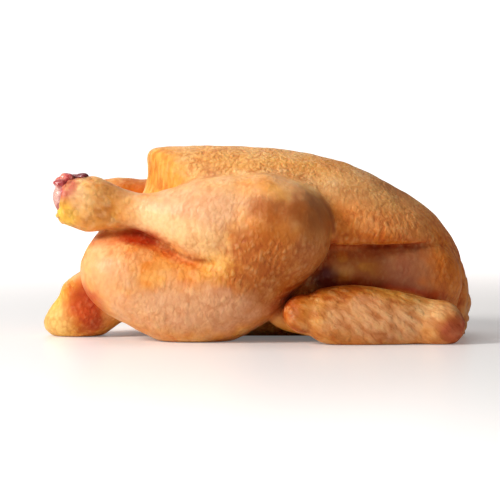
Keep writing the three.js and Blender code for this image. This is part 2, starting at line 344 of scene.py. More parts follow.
@dataclass(frozen=True)
class Leg:
    """One leg, read at a mirrored y: the thigh lies on the floor and the drumstick is folded over it."""

    hock: Point = (-112, 45, 84.5)
    knee: Point = (20, 59.5, 65.7)
    cut_x: float = -118.0
    girth: Sequence[Row] = (
        (0, 14.5, 13.5),
        (0.1, 17, 14.5),
        (0.23, 12.2, 11.5),
        (0.34, 11.4, 12),
        (0.46, 17.4, 18.5),
        (0.6, 25.3, 24),
        (0.8, 29.8, 25),
        (1, 24.4, 24.5),
    )
    thigh_rear: Lump = Lump((-58, 43, 34.5), (46, 27, 28), -9, -4)
    thigh_front: Lump = Lump((-26, 42, 27.5), (41, 27.5, 29.5), 15)
    knee_fold: Lump = Lump((3, 55, 58.4), (39.5, 25, 30), 63)
    rump: Lump = Lump((-78, 30, 45), (26, 23, 26), -14)
    cut_lean: float = 0.12
    ledge: float = 3.2
    ledge_reach: float = 8.0
    thigh_seam: float = 20.0
    knee_seam: float = 24.0
    rump_seam: float = 14.0
    crease: float = 4.5
    crease_fade: float = 15.5
    cut_lip: float = 5.0

    def shank(self, x: np.ndarray, y: np.ndarray, z: np.ndarray) -> np.ndarray:
        """Reads the drumstick alone.

        Args:
            x: X of the points.
            y: Mirrored Y of the points.
            z: Z of the points.

        Returns:
            The field at each point.
        """
        stick = Limb(self.hock, self.knee, self.girth)
        cut = x - self.cut_x - self.cut_lean * (z - self.hock[2])
        return carve(stick.distance(x, y, z), cut, self.cut_lip)

    def thigh(self, x: np.ndarray, y: np.ndarray, z: np.ndarray) -> np.ndarray:
        """Reads the thigh, pressed in along the drumstick that lies on it.

        Args:
            x: X of the points.
            y: Mirrored Y of the points.
            z: Z of the points.

        Returns:
            The field at each point.
        """
        rear, front = self.thigh_rear.distance(x, y, z), self.thigh_front.distance(x, y, z)
        thigh = join(rear, front, self.thigh_seam)
        thigh = join(thigh, self.knee_fold.distance(x, y, z), self.knee_seam)
        thigh = join(thigh, self.rump.distance(x, y, z), self.rump_seam)
        beside = np.exp(-((np.maximum(self.shank(x, y, z), 0) / self.ledge_reach) ** 2))
        return thigh + self.ledge * beside * ease(-6, -32, x) * ease(44, 56, y)

    def distance(self, x: np.ndarray, y: np.ndarray, z: np.ndarray) -> np.ndarray:
        """Reads the leg's field, with a crease that fades out towards the knee."""
        seam = self.crease + self.crease_fade * ease(-25, 10, x)
        return join(self.thigh(x, y, z), self.shank(x, y, z), seam)


@dataclass(frozen=True)
class Wing:
    """One folded wing, read at a mirrored y: the upper arm lies above the forearm."""

    upper: Limb = Limb((46, 43, 43), (98, 30, 44), ((0, 13.5, 12), (0.5, 15.5, 13), (1, 17.5, 16)))
    forearm: Limb = Limb(
        (29, 69, 17.8),
        (111, 62, 13),
        (
            (0, 11.6, 10),
            (0.12, 15.6, 12.5),
            (0.28, 18.2, 13.5),
            (0.5, 18.2, 13.5),
            (0.75, 15.5, 12),
            (1, 12.8, 10),
        ),
        1.25,
    )
    tip: Lump = Lump((111, 66, 9.5), (12, 8.5, 9), 0, -6)
    shoulder: Lump = Lump((95, 33, 36), (31, 19, 25))
    armpit: Lump = Lump((62, 46, 15), (54, 15, 14), 0, -5)
    lean: float = 0.28
    lean_from: float = 10.0
    tip_seam: float = 9.0
    shoulder_seam: float = 16.0
    armpit_seam: float = 8.0

    def hand(self, x: np.ndarray, y: np.ndarray, z: np.ndarray) -> np.ndarray:
        """Reads the forearm and the wing tip."""
        leant = y + self.lean * (z - self.lean_from)
        return join(self.forearm.distance(x, leant, z), self.tip.distance(x, y, z), self.tip_seam)

    def arm(self, x: np.ndarray, y: np.ndarray, z: np.ndarray) -> np.ndarray:
        """Reads the upper arm, shoulder and armpit."""
        arm = join(self.upper.distance(x, y, z), self.shoulder.distance(x, y, z), self.shoulder_seam)
        return join(arm, self.armpit.distance(x, y, z), self.armpit_seam)


@dataclass(frozen=True)
class Tail:
    """The tail with the soft rims of skin that run up from it on both sides of the vent."""

    base: Lump = Lump((-101, 0, 17), (22.5, 22, 17), 14)
    tip: Lump = Lump((-114.5, 0, 8.5), (15.5, 14, 9.5), 6)
    rim: Limb = Limb((-86, 30, 58), (-110, 12, 29), ((0, 10, 9), (1, 8.5, 8.5)))
    seam: float = 14.0

    def distance(self, x: np.ndarray, y: np.ndarray, z: np.ndarray) -> np.ndarray:
        """Reads the tail's field without its rims."""
        return join(self.base.distance(x, y, z), self.tip.distance(x, y, z), self.seam)


class Noise:
    """Smooth noise on a fixed lattice, between 0 and 1."""

    def __init__(self, seed: int) -> None:
        """Fills the lattice from a seed."""
        self.lattice = np.random.default_rng(seed).random((32, 32, 32)).astype(np.float32)

    def read(self, x: np.ndarray, y: np.ndarray, z: np.ndarray, size: float) -> np.ndarray:
        """Reads the noise.

        Args:
            x: X of the points.
            y: Y of the points.
            z: Z of the points.
            size: Size of its features.

        Returns:
            A value for each point.
        """
        cells, parts = [], []
        for axis in (x, y, z):
            scaled = np.asarray(axis) / size + 512
            low = np.floor(scaled)
            share = scaled - low
            parts.append(share * share * (3 - 2 * share))
            cells.append(low.astype(int))
        total = np.zeros(np.broadcast(x, y, z).shape)
        for corner in range(8):
            step = [corner >> axis & 1 for axis in range(3)]
            weight = 1.0
            for axis in range(3):
                weight = weight * (parts[axis] if step[axis] else 1 - parts[axis])
            spot = tuple((cells[axis] + step[axis]) % 32 for axis in range(3))
            total += weight * self.lattice[spot]
        return total


BROAD, FINE, RAGGED = Noise(11), Noise(12), Noise(21)


@dataclass(frozen=True)
class Cavity:
    """The emptied inside of the bird and the vent that opens it at the tail end."""

    belly: Lump = Lump((-18, 0, 48), (76, 38, 33))
    vent: Limb = Limb((-125, 0, 56), (-60, 0, 48), ((0, 21, 28), (0.5, 18, 24), (1, 20, 24)))
    seam: float = 10.0
    rag: float = 4.5
    rag_size: float = 11.0
    rib: float = 0.9
    rib_spacing: float = 14.0
    rib_lean: float = 0.35

    def distance(self, x: np.ndarray, y: np.ndarray, z: np.ndarray) -> np.ndarray:
        """Reads the hollow's field.

        Args:
            x: X of the points.
            y: Y of the points.
            z: Z of the points.

        Returns:
            The field at each point, below zero in the hollow.
        """
        hollow = join(self.belly.distance(x, y, z), self.vent.distance(x, y, z), self.seam)
        rag = RAGGED.read(x, y, z, self.rag_size) - 0.5
        rib = np.cos(2 * math.pi * (x + self.rib_lean * z) / self.rib_spacing)
        rib = rib * ease(-50, -35, x) * ease(10, 22, np.abs(y))
        return hollow + self.rag * rag * ease(-60, -80, x) + self.rib * rib


class Part(Enum):
    """Regions of the skin that a stain can be kept to."""

    ANY = "any"
    BREAST = "breast"
    LEG = "leg"
    WING = "wing"
    ARM = "arm"
    TAIL = "tail"


class Side(Enum):
    """Sides of the bird that a stain is on."""

    BOTH = 0
    FAR = 1


@dataclass(frozen=True)
class Stain:
    """A soft patch of colour on the side of the bird, placed by its X and Z."""

    colour: Point
    centre: tuple[float, float]
    radii: tuple[float, float]
    turn: float = 0.0
    strength: float = 1.0
    part: Part = Part.ANY
    side: Side = Side.BOTH
    edge: float = 0.45


@dataclass
class SurfaceMesh:
    """Points in millimetres and quads."""

    points: np.ndarray
    quads: np.ndarray

    def part(self, keep: np.ndarray) -> SurfaceMesh:
        """Cuts out some of the quads.

        Args:
            keep: True for each quad that is kept.

        Returns:
            The mesh of those quads.
        """
        quads = self.quads[keep]
        used, flat = np.unique(quads, return_inverse=True)
        return SurfaceMesh(self.points[used], flat.reshape(-1, 4))

    def to_object(self, name: str, shift: Point) -> bpy.types.Object:
        """Makes a Blender object of the mesh.

        Args:
            name: Name of the piece.
            shift: Millimetres added to each point.

        Returns:
            The object, at the origin with its place in its mesh.
        """
        mesh = bpy.data.meshes.new(name)
        mesh.vertices.add(len(self.points))
        mesh.vertices.foreach_set("co", ((self.points + shift) * MM).astype(np.float32).ravel())
        mesh.loops.add(self.quads.size)
        mesh.loops.foreach_set("vertex_index", self.quads.astype(np.int32).ravel())
        mesh.polygons.add(len(self.quads))
        mesh.polygons.foreach_set("loop_start", np.arange(0, self.quads.size, 4, dtype=np.int32))
        mesh.polygons.foreach_set("use_smooth", np.ones(len(self.quads), bool))
        mesh.update(calc_edges=True)
        mesh.validate()
        piece = bpy.data.objects.new(name, mesh)
        bpy.context.scene.collection.objects.link(piece)
        return piece


@dataclass(frozen=True)
class SurfaceNet:
    """Meshes the zero surface of a field with one point in each grid cell that it passes through."""

    low: Point
    high: Point
    step: float

    def axes(self) -> list[np.ndarray]:
        """Grid coordinates along each axis."""
        spans = [math.ceil((b - a) / self.step) + 1 for a, b in zip(self.low, self.high)]
        return [a + self.step * np.arange(n) for a, n in zip(self.low, spans)]

    def read(self, field_of: Reader) -> np.ndarray:
        """Reads the field at every grid corner, a slab at a time.

        Args:
            field_of: The field.

        Returns:
            Its values on the grid.
        """
        xs, ys, zs = self.axes()
        slabs = []
        for start in range(0, len(xs), 16):
            x = xs[start : start + 16, None, None]
            x, y, z = np.broadcast_arrays(x, ys[None, :, None], zs[None, None, :])
            slabs.append(field_of(x, y, z).astype(np.float32))
        return np.concatenate(slabs)

    def settle(self, field_of: Reader, points: np.ndarray) -> np.ndarray:
        """Moves points along the field's slope until they lie on its zero surface.

        Args:
            field_of: The field.
            points: Points close to the surface.

        Returns:
            The settled points.
        """
        settled = points.copy()
        for _ in range(3):
            x, y, z = settled.T
            value = field_of(x, y, z)
            slope = self.slope(field_of, settled)
            settled -= slope * (value / np.maximum((slope**2).sum(1), 0.25))[:, None]
        move = settled - points
        reach = np.linalg.norm(move, axis=1, keepdims=True)
        return points + move * np.minimum(1, 0.6 * self.step / np.maximum(reach, 1e-9))

    @staticmethod
    def slope(field_of: Reader, points: np.ndarray) -> np.ndarray:
        """Slope of the field at some points.

        Args:
            field_of: The field.
            points: Where it is read.

        Returns:
            A vector for each point.
        """
        x, y, z = points.T
        probe = 0.1
        return np.stack(
            [
                field_of(x + probe, y, z) - field_of(x - probe, y, z),
                field_of(x, y + probe, z) - field_of(x, y - probe, z),
                field_of(x, y, z + probe) - field_of(x, y, z - probe),
            ],
            axis=1,
        ) / (2 * probe)

    def mesh(self, field_of: Reader) -> SurfaceMesh:
        """Meshes the field.

        Args:
            field_of: The field.

        Returns:
            Its zero surface, with its faces outwards.
        """
        values = self.read(field_of)
        inside = values < 0
        cells = tuple(n - 1 for n in values.shape)
        corners = [
            tuple(slice(c, c + n) for c, n in zip((i, j, k), cells))
            for i in (0, 1)
            for j in (0, 1)
            for k in (0, 1)
        ]
        count = sum(inside[c].astype(np.int8) for c in corners)
        active = (count > 0) & (count < 8)
        ids = np.full(cells, -1)
        ids[active] = np.arange(active.sum())
        place = np.stack(np.nonzero(active), axis=1)
        total = np.zeros((len(place), 3))
        crossings = np.zeros(len(place))
        for axis in range(3):
            for side in range(4):
                near = np.zeros(3, int)
                near[(axis + 1) % 3] = side & 1
                near[(axis + 2) % 3] = side >> 1
                far = near.copy()
                far[axis] = 1
                a = values[tuple((place + near).T)]
                b = values[tuple((place + far).T)]
                crossed = (a < 0) != (b < 0)
                share = np.where(crossed, a / np.where(crossed, a - b, 1), 0)
                spot = place + near + share[:, None] * (far - near)
                total += np.where(crossed[:, None], spot, 0)
                crossings += crossed
        points = total / crossings[:, None] * self.step + np.array(self.low)
        quads = []
        for axis in range(3):
            ahead = [slice(1, n - 1) for n in values.shape]
            behind = list(ahead)
            ahead[axis] = slice(2, values.shape[axis])
            behind[axis] = slice(1, values.shape[axis] - 1)
            here, there = inside[tuple(behind)], inside[tuple(ahead)]
            spots = np.stack(np.nonzero(here != there), axis=1) + 1
            ring = []
            for back, across in ((0, 0), (1, 0), (1, 1), (0, 1)):
                cell = spots.copy()
                cell[:, (axis + 1) % 3] -= back
                cell[:, (axis + 2) % 3] -= across
                ring.append(ids[tuple(cell.T)])
            ring = np.stack(ring, axis=1)
            outward = inside[tuple(spots.T)]
            quads.append(np.where(outward[:, None], ring, ring[:, ::-1]))
        return SurfaceMesh(self.settle(field_of, points), np.concatenate(quads))


def linear(colour: Point) -> np.ndarray:
    """Turns a screen colour into a linear one.

    Args:
        colour: Red, green and blue from 0 to 255.

    Returns:
        Linear red, green and blue from 0 to 1.
    """
    c = np.array(colour, float) / 255
    return np.where(c <= 0.04045, c / 12.92, ((c + 0.055) / 1.055) ** 2.4)


CREAM = (226, 188, 118)
PEACH = (248, 204, 146)
TAN = (242, 172, 90)
GOLD = (230, 154, 44)
YELLOW = (246, 192, 72)
ORANGE = (226, 120, 16)
AMBER = (206, 104, 4)
TAWNY = (184, 98, 22)
ROSE = (234, 180, 138)
UMBER = (190, 112, 56)
BROWN = (156, 80, 34)
MAUVE = (150, 82, 56)
# Painted shade: the orange-red of the creases along the arm above the wing, under the ankle and between the
# tail and the thighs.
RED_CREASE_SHADE = (192, 62, 8)
# Raw blood on the hock joint, and painted shade deep in the fold between the tail and the thighs.
BLOOD_AND_FOLD_SHADE = (150, 22, 28)
FLESH = (196, 74, 74)
# Dark clotted blood on the hock, and painted shade in the nook of the arm beside the knee.
CLOT_AND_NOOK_SHADE = (72, 10, 8)
GREY = (170, 140, 132)
# Painted shade: the dark line in the crease where the drumstick lies on the thigh.
CREASE_SHADE_LINE = (132, 58, 16)
# Painted shade: the dark red of the deep gap between the knee, the upper arm and the wing.
KNEE_NOOK_SHADE = (96, 16, 12)
GUT = (186, 84, 62)
MEAT = (190, 62, 60)
SINEW = (216, 120, 100)
GRISTLE = (218, 178, 164)
DRY_BLOOD = (96, 18, 34)

STAINS = (
    # Breast: an orange band along its side, fat at its rear end and a plainer neck end.
    Stain(GOLD, (10, 112), (75, 9), 0, 0.5, Part.BREAST),
    Stain(GOLD, (-56, 100), (13, 22), 0, 0.8, Part.BREAST),
    Stain(ORANGE, (76, 70), (44, 13), -8, 0.75, Part.BREAST),
    Stain(AMBER, (70, 60), (50, 6), -3, 0.7, Part.BREAST),
    Stain(PEACH, (72, 82), (42, 11), -26, 0.22, Part.BREAST),
    # Shoulder and upper arm: smooth, brown and purple, with painted shade in the nook beside the knee and
    # along the crease above the wing.
    Stain(BROWN, (62, 44), (34, 19), -5, 0.7, Part.ARM),
    Stain(MAUVE, (96, 42), (24, 19), -5, 0.8, Part.ARM),
    Stain(TAWNY, (60, 44), (18, 9), -8, 0.6, Part.ARM),
    Stain(TAN, (52, 41), (7, 5), 10, 0.5, Part.ARM),
    # Painted shade along the crease between the upper arm and the wing.
    Stain(RED_CREASE_SHADE, (80, 30), (40, 3.5), -7, 0.7, Part.ARM),
    # Painted shade in the deep nook of the arm beside the knee.
    Stain(CLOT_AND_NOOK_SHADE, (36, 38), (13, 7), 10, 0.85, Part.ARM),
    Stain(ORANGE, (121, 45), (16, 42), 0, 0.75, Part.ANY),
    # Drumstick: pale rose on top, a brown knee and a golden patch below it.
    Stain(ROSE, (-36, 80), (42, 15), 8, 0.8, Part.LEG),
    Stain(PEACH, (-40, 64), (34, 10), -22, 0.75, Part.LEG),
    Stain(TAN, (0, 94), (34, 6), 0, 0.3, Part.LEG),
    Stain(UMBER, (10, 79), (17, 8), -6, 0.9, Part.LEG),
    Stain(ROSE, (22, 93), (14, 3.5), -30, 0.4, Part.LEG),
    Stain(BROWN, (34, 76), (21, 13), -14, 0.85, Part.LEG),
    Stain(TAWNY, (8, 54), (30, 22), 20, 0.9, Part.LEG),
    Stain(YELLOW, (-23, 46), (12, 9), 0, 0.3, Part.LEG),
    Stain(TAWNY, (4, 26), (30, 18), 0, 0.8, Part.LEG),
    Stain(UMBER, (36, 52), (13, 20), 0, 0.8, Part.LEG),
    Stain(TAWNY, (30, 24), (16, 16), 0, 0.5, Part.LEG),
    Stain(ORANGE, (-12, 14), (34, 9), 0, 0.3, Part.LEG),
    # Thigh: pale and smooth at the rear, orange along the fold, a red painted shade under the ankle, rose
    # below.
    Stain(ROSE, (-88, 45), (17, 19), 0, 0.5, Part.LEG),
    Stain(ORANGE, (-55, 50), (32, 11), -18, 0.25, Part.LEG),
    Stain(ROSE, (-42, 20), (42, 15), 0, 0.75, Part.LEG),
    # Red tone and painted shade in the fold under the ankle.
    Stain(RED_CREASE_SHADE, (-70, 63), (13, 4.5), -8, 0.95, Part.LEG),
    # Ankle and hock.
    Stain(GOLD, (-95, 76), (20, 11), 0, 0.55, Part.LEG),
    Stain(TAWNY, (-87, 86), (8, 13), 0, 0.45, Part.LEG),
    Stain(PEACH, (-103, 85), (9, 9), 0, 0.4, Part.LEG),
    Stain(GREY, (-106, 87), (7, 5), 0, 0.15, Part.LEG),
    Stain(FLESH, (-114, 95), (6.5, 8), -30, 0.75, Part.LEG),
    Stain(TAWNY, (-75, 88), (26, 14), 0, 0.6, Part.LEG, Side.FAR),
    Stain(AMBER, (-78, 84), (24, 12), 0, 0.9, Part.LEG, Side.FAR),
    Stain(CLOT_AND_NOOK_SHADE, (-102, 101.5), (4, 3), 0, 0.95, Part.LEG),
    Stain(YELLOW, (-115, 75), (9, 8), 0, 0.9, Part.LEG),
    # Tail: yellow fat, with painted shade in the fold where it meets the thighs, orange to dark red as if
    # lit through the flesh.
    Stain(YELLOW, (-120, 18), (16, 24), 0, 0.7, Part.TAIL),
    Stain(CREAM, (-122, 11), (14, 11), 20, 0.7, Part.TAIL),
    # Painted shade and a painted red glow through the flesh in the fold between the tail and the thighs.
    Stain(AMBER, (-104, 18), (13, 18), 12, 0.8),
    Stain(RED_CREASE_SHADE, (-102, 17), (9, 15), 12, 0.8),
    Stain(BLOOD_AND_FOLD_SHADE, (-101, 20), (5, 12), 12, 0.15),
    # Wing: orange elbow, yellow upper edge, rose middle and a red tip.
    Stain(AMBER, (24, 22), (15, 14), 20, 0.85, Part.WING),
    Stain(BROWN, (22, 20), (12, 12), 20, 0.25, Part.WING),
    Stain(AMBER, (50, 31), (20, 6), -4, 0.7, Part.WING),
    Stain(YELLOW, (88, 29), (22, 4.5), -12, 0.35, Part.WING),
    Stain(YELLOW, (36, 18), (10, 8), 0, 0.4, Part.WING),
    Stain(TAWNY, (70, 16), (60, 30), 0, 0.42, Part.WING),
    Stain(ROSE, (74, 14), (38, 11), -3, 0.5, Part.WING),
    Stain(PEACH, (108, 20), (14, 5), 0, 0.35, Part.WING),
    Stain(FLESH, (118, 9), (9, 8), 0, 0.5, Part.WING),
)


@dataclass
class Carcass:
    """The whole bird as one field, and the pieces of skin that are made of it."""

    breast: Breast = field(default_factory=Breast)
    leg: Leg = field(default_factory=Leg)
    wing: Wing = field(default_factory=Wing)
    tail: Tail = field(default_factory=Tail)
    cavity: Cavity = field(default_factory=Cavity)
    pelvis: Lump = Lump((-48, 0, 37), (58, 46, 31))
    belly_flap: Lump = Lump((-66, 0, 69), (19, 34, 12), 38)
    neck_roll: Lump = Lump((112, 0, 20), (19, 40, 18))
    far_hock_lift: float = -3.0
    far_hock_ahead: float = 9.0
    far_wing_back: float = 3.0
    far_ankle_swell: float = 9.0
    pelvis_seam: float = 16.0
    flap_seam: float = 22.0
    tail_seam: float = 8.0
    rim_seam: float = 10.0
    roll_seam: float = 10.0
    wing_seam: float = 3.0
    leg_seam: float = 2.5
    leg_seam_top: float = 5.0
    vent_lip: float = 6.0
    floor_lip: float = 1.0
    neck_fold: float = 27.0
    neck_fold_depth: float = 2.2
    neck_fold_wave: float = 2.0
    pleats: int = 9
    pleat_depth: float = 0.8
    region_edge: tuple[float, float] = (3.5, 0.5)
    leg_groove: float = 1.2
    arm_groove: float = 0.4
    lining_end_x: float = -88.0
    shift: Point = (-0.59, 0, 0)
    step: float = 1.4

    def far_fold(self, x: np.ndarray, y: np.ndarray) -> np.ndarray:
        """Share of the far leg's tighter fold: 0 on the near side and at the knee, 1 at the far hock."""
        return np.where(y > 0, ease(20, -100, x), 0)

    def far_ahead(self, x: np.ndarray, y: np.ndarray, z: np.ndarray) -> np.ndarray:
        """Millimetres that the far drumstick lies further ahead than the near one."""
        return self.far_hock_ahead * self.far_fold(x, y) * ease(55, 75, z)

    def legs(self, x: np.ndarray, y: np.ndarray, z: np.ndarray) -> np.ndarray:
        """Reads both legs.

        Args:
            x: X of the points.
            y: Y of the points.
            z: Z of the points.

        Returns:
            The field at each point.
        """
        lift = self.far_hock_lift * self.far_fold(x, y)
        swell = np.where(y > 0, ease(-94, -60, x) * ease(-22, -52, x) * ease(68, 80, z), 0)
        leg = self.leg.distance(x - self.far_ahead(x, y, z), np.abs(y), z - lift)
        return leg - self.far_ankle_swell * swell

    def trunk(self, x: np.ndarray, y: np.ndarray, z: np.ndarray) -> np.ndarray:
        """Reads the body without its limbs.

        Args:
            x: X of the points.
            y: Y of the points.
            z: Z of the points.

        Returns:
            The field at each point.
        """
        d = join(self.breast.distance(x, y, z), self.pelvis.distance(x, y, z), self.pelvis_seam)
        d = join(d, self.belly_flap.distance(x, y, z), self.flap_seam)
        d = join(d, self.tail.distance(x, y, z), self.tail_seam)
        d = join(d, self.tail.rim.distance(x, np.abs(y), z), self.rim_seam)
        return join(d, self.neck_roll.distance(x, y, z), self.roll_seam)

    def neck_flap(self, x: np.ndarray, y: np.ndarray, z: np.ndarray) -> np.ndarray:
        """Depth of the creases where the neck's skin is folded down over its opening.

        Args:
            x: X of the points.
            y: Y of the points.
            z: Z of the points.

        Returns:
            Millimetres that the skin is pressed in.
        """
        across, up = y + 3, 0.85 * (z - 20)
        r, depth = np.hypot(across, up), self.neck_fold_depth
        rim = self.neck_fold + self.neck_fold_wave * np.sin(2.3 * np.arctan2(across, up))
        edge = depth * np.exp(-(((r - rim) / depth) ** 2))
        pleats = self.pleat_depth * np.cos(self.pleats * np.arctan2(across, up + 6))
        pleats = pleats * np.exp(-(((r - 14) / 9) ** 2))
        return edge * ease(96, 112, x) + pleats * ease(106, 118, x)

    def distance(self, x: np.ndarray, y: np.ndarray, z: np.ndarray) -> np.ndarray:
        """Reads the whole bird, resting on the floor.

        Args:
            x: X of the points.
            y: Y of the points.
            z: Z of the points.

        Returns:
            The field at each point, below zero in the meat.
        """
        w = np.abs(y)
        back = np.where(y > 0, x + self.far_wing_back, x)
        arm, hand, legs = self.wing.arm(back, w, z), self.wing.hand(back, w, z), self.legs(x, y, z)
        d = grooved(self.trunk(x, y, z), arm, self.arm_groove, ease(34, 46, w) * ease(125, 105, x))
        d = grooved(d, legs, self.leg_groove, ease(38, 54, w) * ease(-70, -50, x) * ease(80, 60, z))
        d = join(d, join(arm, hand, self.wing_seam), self.wing_seam)
        d = join(d, legs, self.leg_seam + self.leg_seam_top * ease(56, 80, z))
        d = carve(d + self.neck_flap(x, y, z), self.cavity.distance(x, y, z), self.vent_lip)
        return carve(d, z, self.floor_lip)

    def regions(self, x: np.ndarray, y: np.ndarray, z: np.ndarray) -> dict[Part, np.ndarray]:
        """Finds which part of the bird each point lies on.

        Args:
            x: X of the points.
            y: Y of the points.
            z: Z of the points.

        Returns:
            A soft share from 0 to 1 for each part.
        """
        w = np.abs(y)
        near = {
            Part.BREAST: self.breast.distance(x, y, z),
            Part.LEG: self.legs(x, y, z),
            Part.WING: self.wing.hand(x, w, z),
            Part.ARM: self.wing.arm(x, w, z),
            Part.TAIL: self.tail.distance(x, y, z),
        }
        closest = np.min(list(near.values()), axis=0)
        shares = {part: ease(*self.region_edge, d - closest) for part, d in near.items()}
        shares[Part.ANY] = np.ones_like(x)
        return shares

    def shade(self, points: np.ndarray, normals: np.ndarray, reach: float) -> np.ndarray:
        """How deep in a fold each point lies, from 0 on open skin to 1."""
        x, y, z = (points + normals * reach).T
        return np.clip(1 - self.distance(x, y, z) / reach, 0, 1)

    def build(self) -> SurfaceMesh:
        """Meshes the bird as one closed surface, skin and cavity together."""
        return SurfaceNet((-142, -96, -4), (142, 96, 128), self.step).mesh(self.distance)

    def dress(self, finish: bpy.types.Material) -> list[bpy.types.Object]:
        """Makes the skin, its raised pores and the lining of the cavity.

        Args:
            finish: Material of the skin.

        Returns:
            The three pieces.
        """
        surface = self.build()
        LOG.info("skin from %s to %s mm", surface.points.min(0), surface.points.max(0))
        middle = surface.points[surface.quads].mean(1)
        hollow = self.cavity.distance(*middle.T)
        inside = (np.abs(hollow) < 1.2) & (middle[:, 0] > self.lining_end_x)
        made = []
        for name, keep in (("skin", ~inside), ("cavity_lining", inside)):
            part = surface.part(keep)
            piece = part.to_object(name, self.shift)
            set_shares(piece, SkinPaint(self, part.points).finish())
            piece = Relief().apply(piece, finish)
            if name == "skin":
                made.append(Papillae().grow(piece, finish))
            made.append(piece)
        return made


class Paint:
    """A colour for each point of a surface, built up of tones laid over one another."""

    def __init__(self, count: int, ground: Point) -> None:
        """Covers every point with a ground tone."""
        self.tone = np.broadcast_to(linear(ground), (count, 3)).copy()

    def lay(self, colour: Point, share: np.ndarray) -> None:
        """Mixes a colour in by a share for each point."""
        self.tone += (linear(colour) - self.tone) * np.clip(share, 0, 1)[:, None]


class SkinPaint:
    """Colours of some points on the bird's skin, and the strength of their goose flesh."""

    deep_reach = 9.0
    tight_reach = 3.0
    # Painted shade in the folds: how much red, green and blue are darkened in deep and in tight folds.
    deep_shade_tint = (0.22, 0.66, 0.85)
    tight_shade_tint = (0.42, 0.74, 0.88)

    def __init__(self, bird: Carcass, points: np.ndarray) -> None:
        """Finds what each point lies on.

        Args:
            bird: The bird.
            points: Points on its skin.
        """
        self.bird = bird
        self.x, self.y, self.z = x, y, z = points.T
        normals = SurfaceNet.slope(bird.distance, points)
        normals /= np.maximum(np.linalg.norm(normals, axis=1, keepdims=True), 1e-6)
        self.on = bird.regions(x, y, z)
        self.across = x - bird.far_ahead(x, y, z)
        self.deep = bird.shade(points, normals, self.deep_reach)
        self.tight = bird.shade(points, normals, self.tight_reach)
        self.hollow = bird.cavity.distance(x, y, z)
        self.inner = ease(4.5, 0.5, self.hollow)
        self.ankle = self.on[Part.LEG] * ease(-70, -90, x) * ease(62, 70, z)
        self.seam, self.fold_shade_share = self.leg_line()
        self.paint = Paint(len(x), TAN)

    def leg_line(self) -> tuple[np.ndarray, np.ndarray]:
        """Finds the thin line where the drumstick lies on the thigh.

        Returns:
            Share of the line, which gets a painted shade line, and share of the painted fold shade that each
            point gets.
        """
        leg, w = self.bird.leg, np.abs(self.y)
        shank, thigh = leg.shank(self.across, w, self.z), leg.thigh(self.across, w, self.z)
        seam = np.exp(-(((thigh - shank) / 2) ** 2)) * ease(3, 1, shank)
        on_shank = ease(0, 2, thigh - shank) * ease(2, 0.5, shank) * ease(-12, -30, self.x)
        fold_shade_share = (1 - 0.8 * ease(58, 72, self.z)) * (1 - 0.8 * on_shank)
        return seam * ease(-20, -32, self.x) * ease(-72, -60, self.x), fold_shade_share

    def mottle(self) -> None:
        """Lays the broad, uneven tones of fat and flesh."""
        x, y, z, lay, on = self.x, self.y, self.z, self.paint.lay, self.on
        cloud = BROAD.read(x, y, z, 22) * 0.6 + FINE.read(x, y, z, 8) * 0.4
        lay(PEACH, ease(0.5, 0.75, cloud) * 0.6)
        lay(ORANGE, ease(0.5, 0.25, cloud) * 0.35)
        lay(GOLD, ease(60, 10, z) * 0.2)
        lay(PEACH, ease(86, 112, z) * on[Part.BREAST] * (0.45 - 0.3 * ease(0, 40, x)))
        patches = 0.2 + 0.3 * ease(0.35, 0.8, BROAD.read(x, y, z, 15))
        lay(UMBER, patches * ease(62, 84, z) * ease(5, 50, x) * on[Part.BREAST])
        rear_spots = ease(0.56, 0.74, FINE.read(y, x, z, 4.5)) * on[Part.LEG]
        lay(ORANGE, rear_spots * ease(20, -20, x) * 0.5)
        lay(PEACH, ease(0.56, 0.74, BROAD.read(y, x, z, 7)) * on[Part.LEG] * 0.35)
        lay(TAWNY, ease(0.55, 0.8, BROAD.read(z, x, y, 13)) * 0.4)

    def stain(self) -> None:
        """Lays the stains, each with an uneven edge, and the golden spots of the arm."""
        x, y, z = self.x, self.y, self.z
        drift = (FINE.read(x, y, z, 9) - 0.5) * 0.5 + (FINE.read(y, z, x, 4) - 0.5) * 0.35
        for stain in STAINS:
            turn = math.radians(stain.turn)
            du, dv = self.across - stain.centre[0], z - stain.centre[1]
            u = (du * math.cos(turn) + dv * math.sin(turn)) / stain.radii[0]
            v = (dv * math.cos(turn) - du * math.sin(turn)) / stain.radii[1]
            share = ease(1 + stain.edge, 1 - stain.edge, np.hypot(u, v) + drift)
            if stain.side is not Side.BOTH:
                share = share * (np.sign(y) == stain.side.value)
            self.paint.lay(stain.colour, share * stain.strength * self.on[stain.part])
        spots = ease(0.45, 0.7, FINE.read(z, y, x, 6.5)) * ease(78, 62, x)
        self.paint.lay(GOLD, spots * self.on[Part.ARM] * 0.45)

    def fold(self) -> None:
        """Paints shade into the folds and creases, darkening green and blue most so that they turn
        red-brown, and lays a painted shade line where the drumstick lies on the thigh.
        """
        deep = (0.6 * self.fold_shade_share * ease(0.2, 0.85, self.deep))[:, None] * np.array(self.deep_shade_tint)
        tight = (0.7 * self.fold_shade_share * ease(0.35, 0.95, self.tight))[:, None] * np.array(self.tight_shade_tint)
        self.paint.tone *= (1 - deep) * (1 - tight)
        # Painted shade line in the crease where the drumstick lies on the thigh.
        self.paint.lay(CREASE_SHADE_LINE, self.seam * 0.7)

    def accents(self) -> None:
        """Lays the tones of the cavity and its rim, painted shade in the deep nook beside the knee, and the
        tones of the ankle.
        """
        x, y, z, lay = self.x, self.y, self.z, self.paint.lay
        lay(ROSE, ease(9, 3, self.hollow) * 0.5)
        lay(GUT, self.inner)
        pale = ease(0.2, 0.9, FINE.read(x, z, y, 6)) * ease(8, 3, np.abs(self.hollow))
        lay(YELLOW, pale * ease(-84, -92, x) * 0.35)
        trunk = (1 - self.on[Part.LEG]) * (1 - self.on[Part.WING])
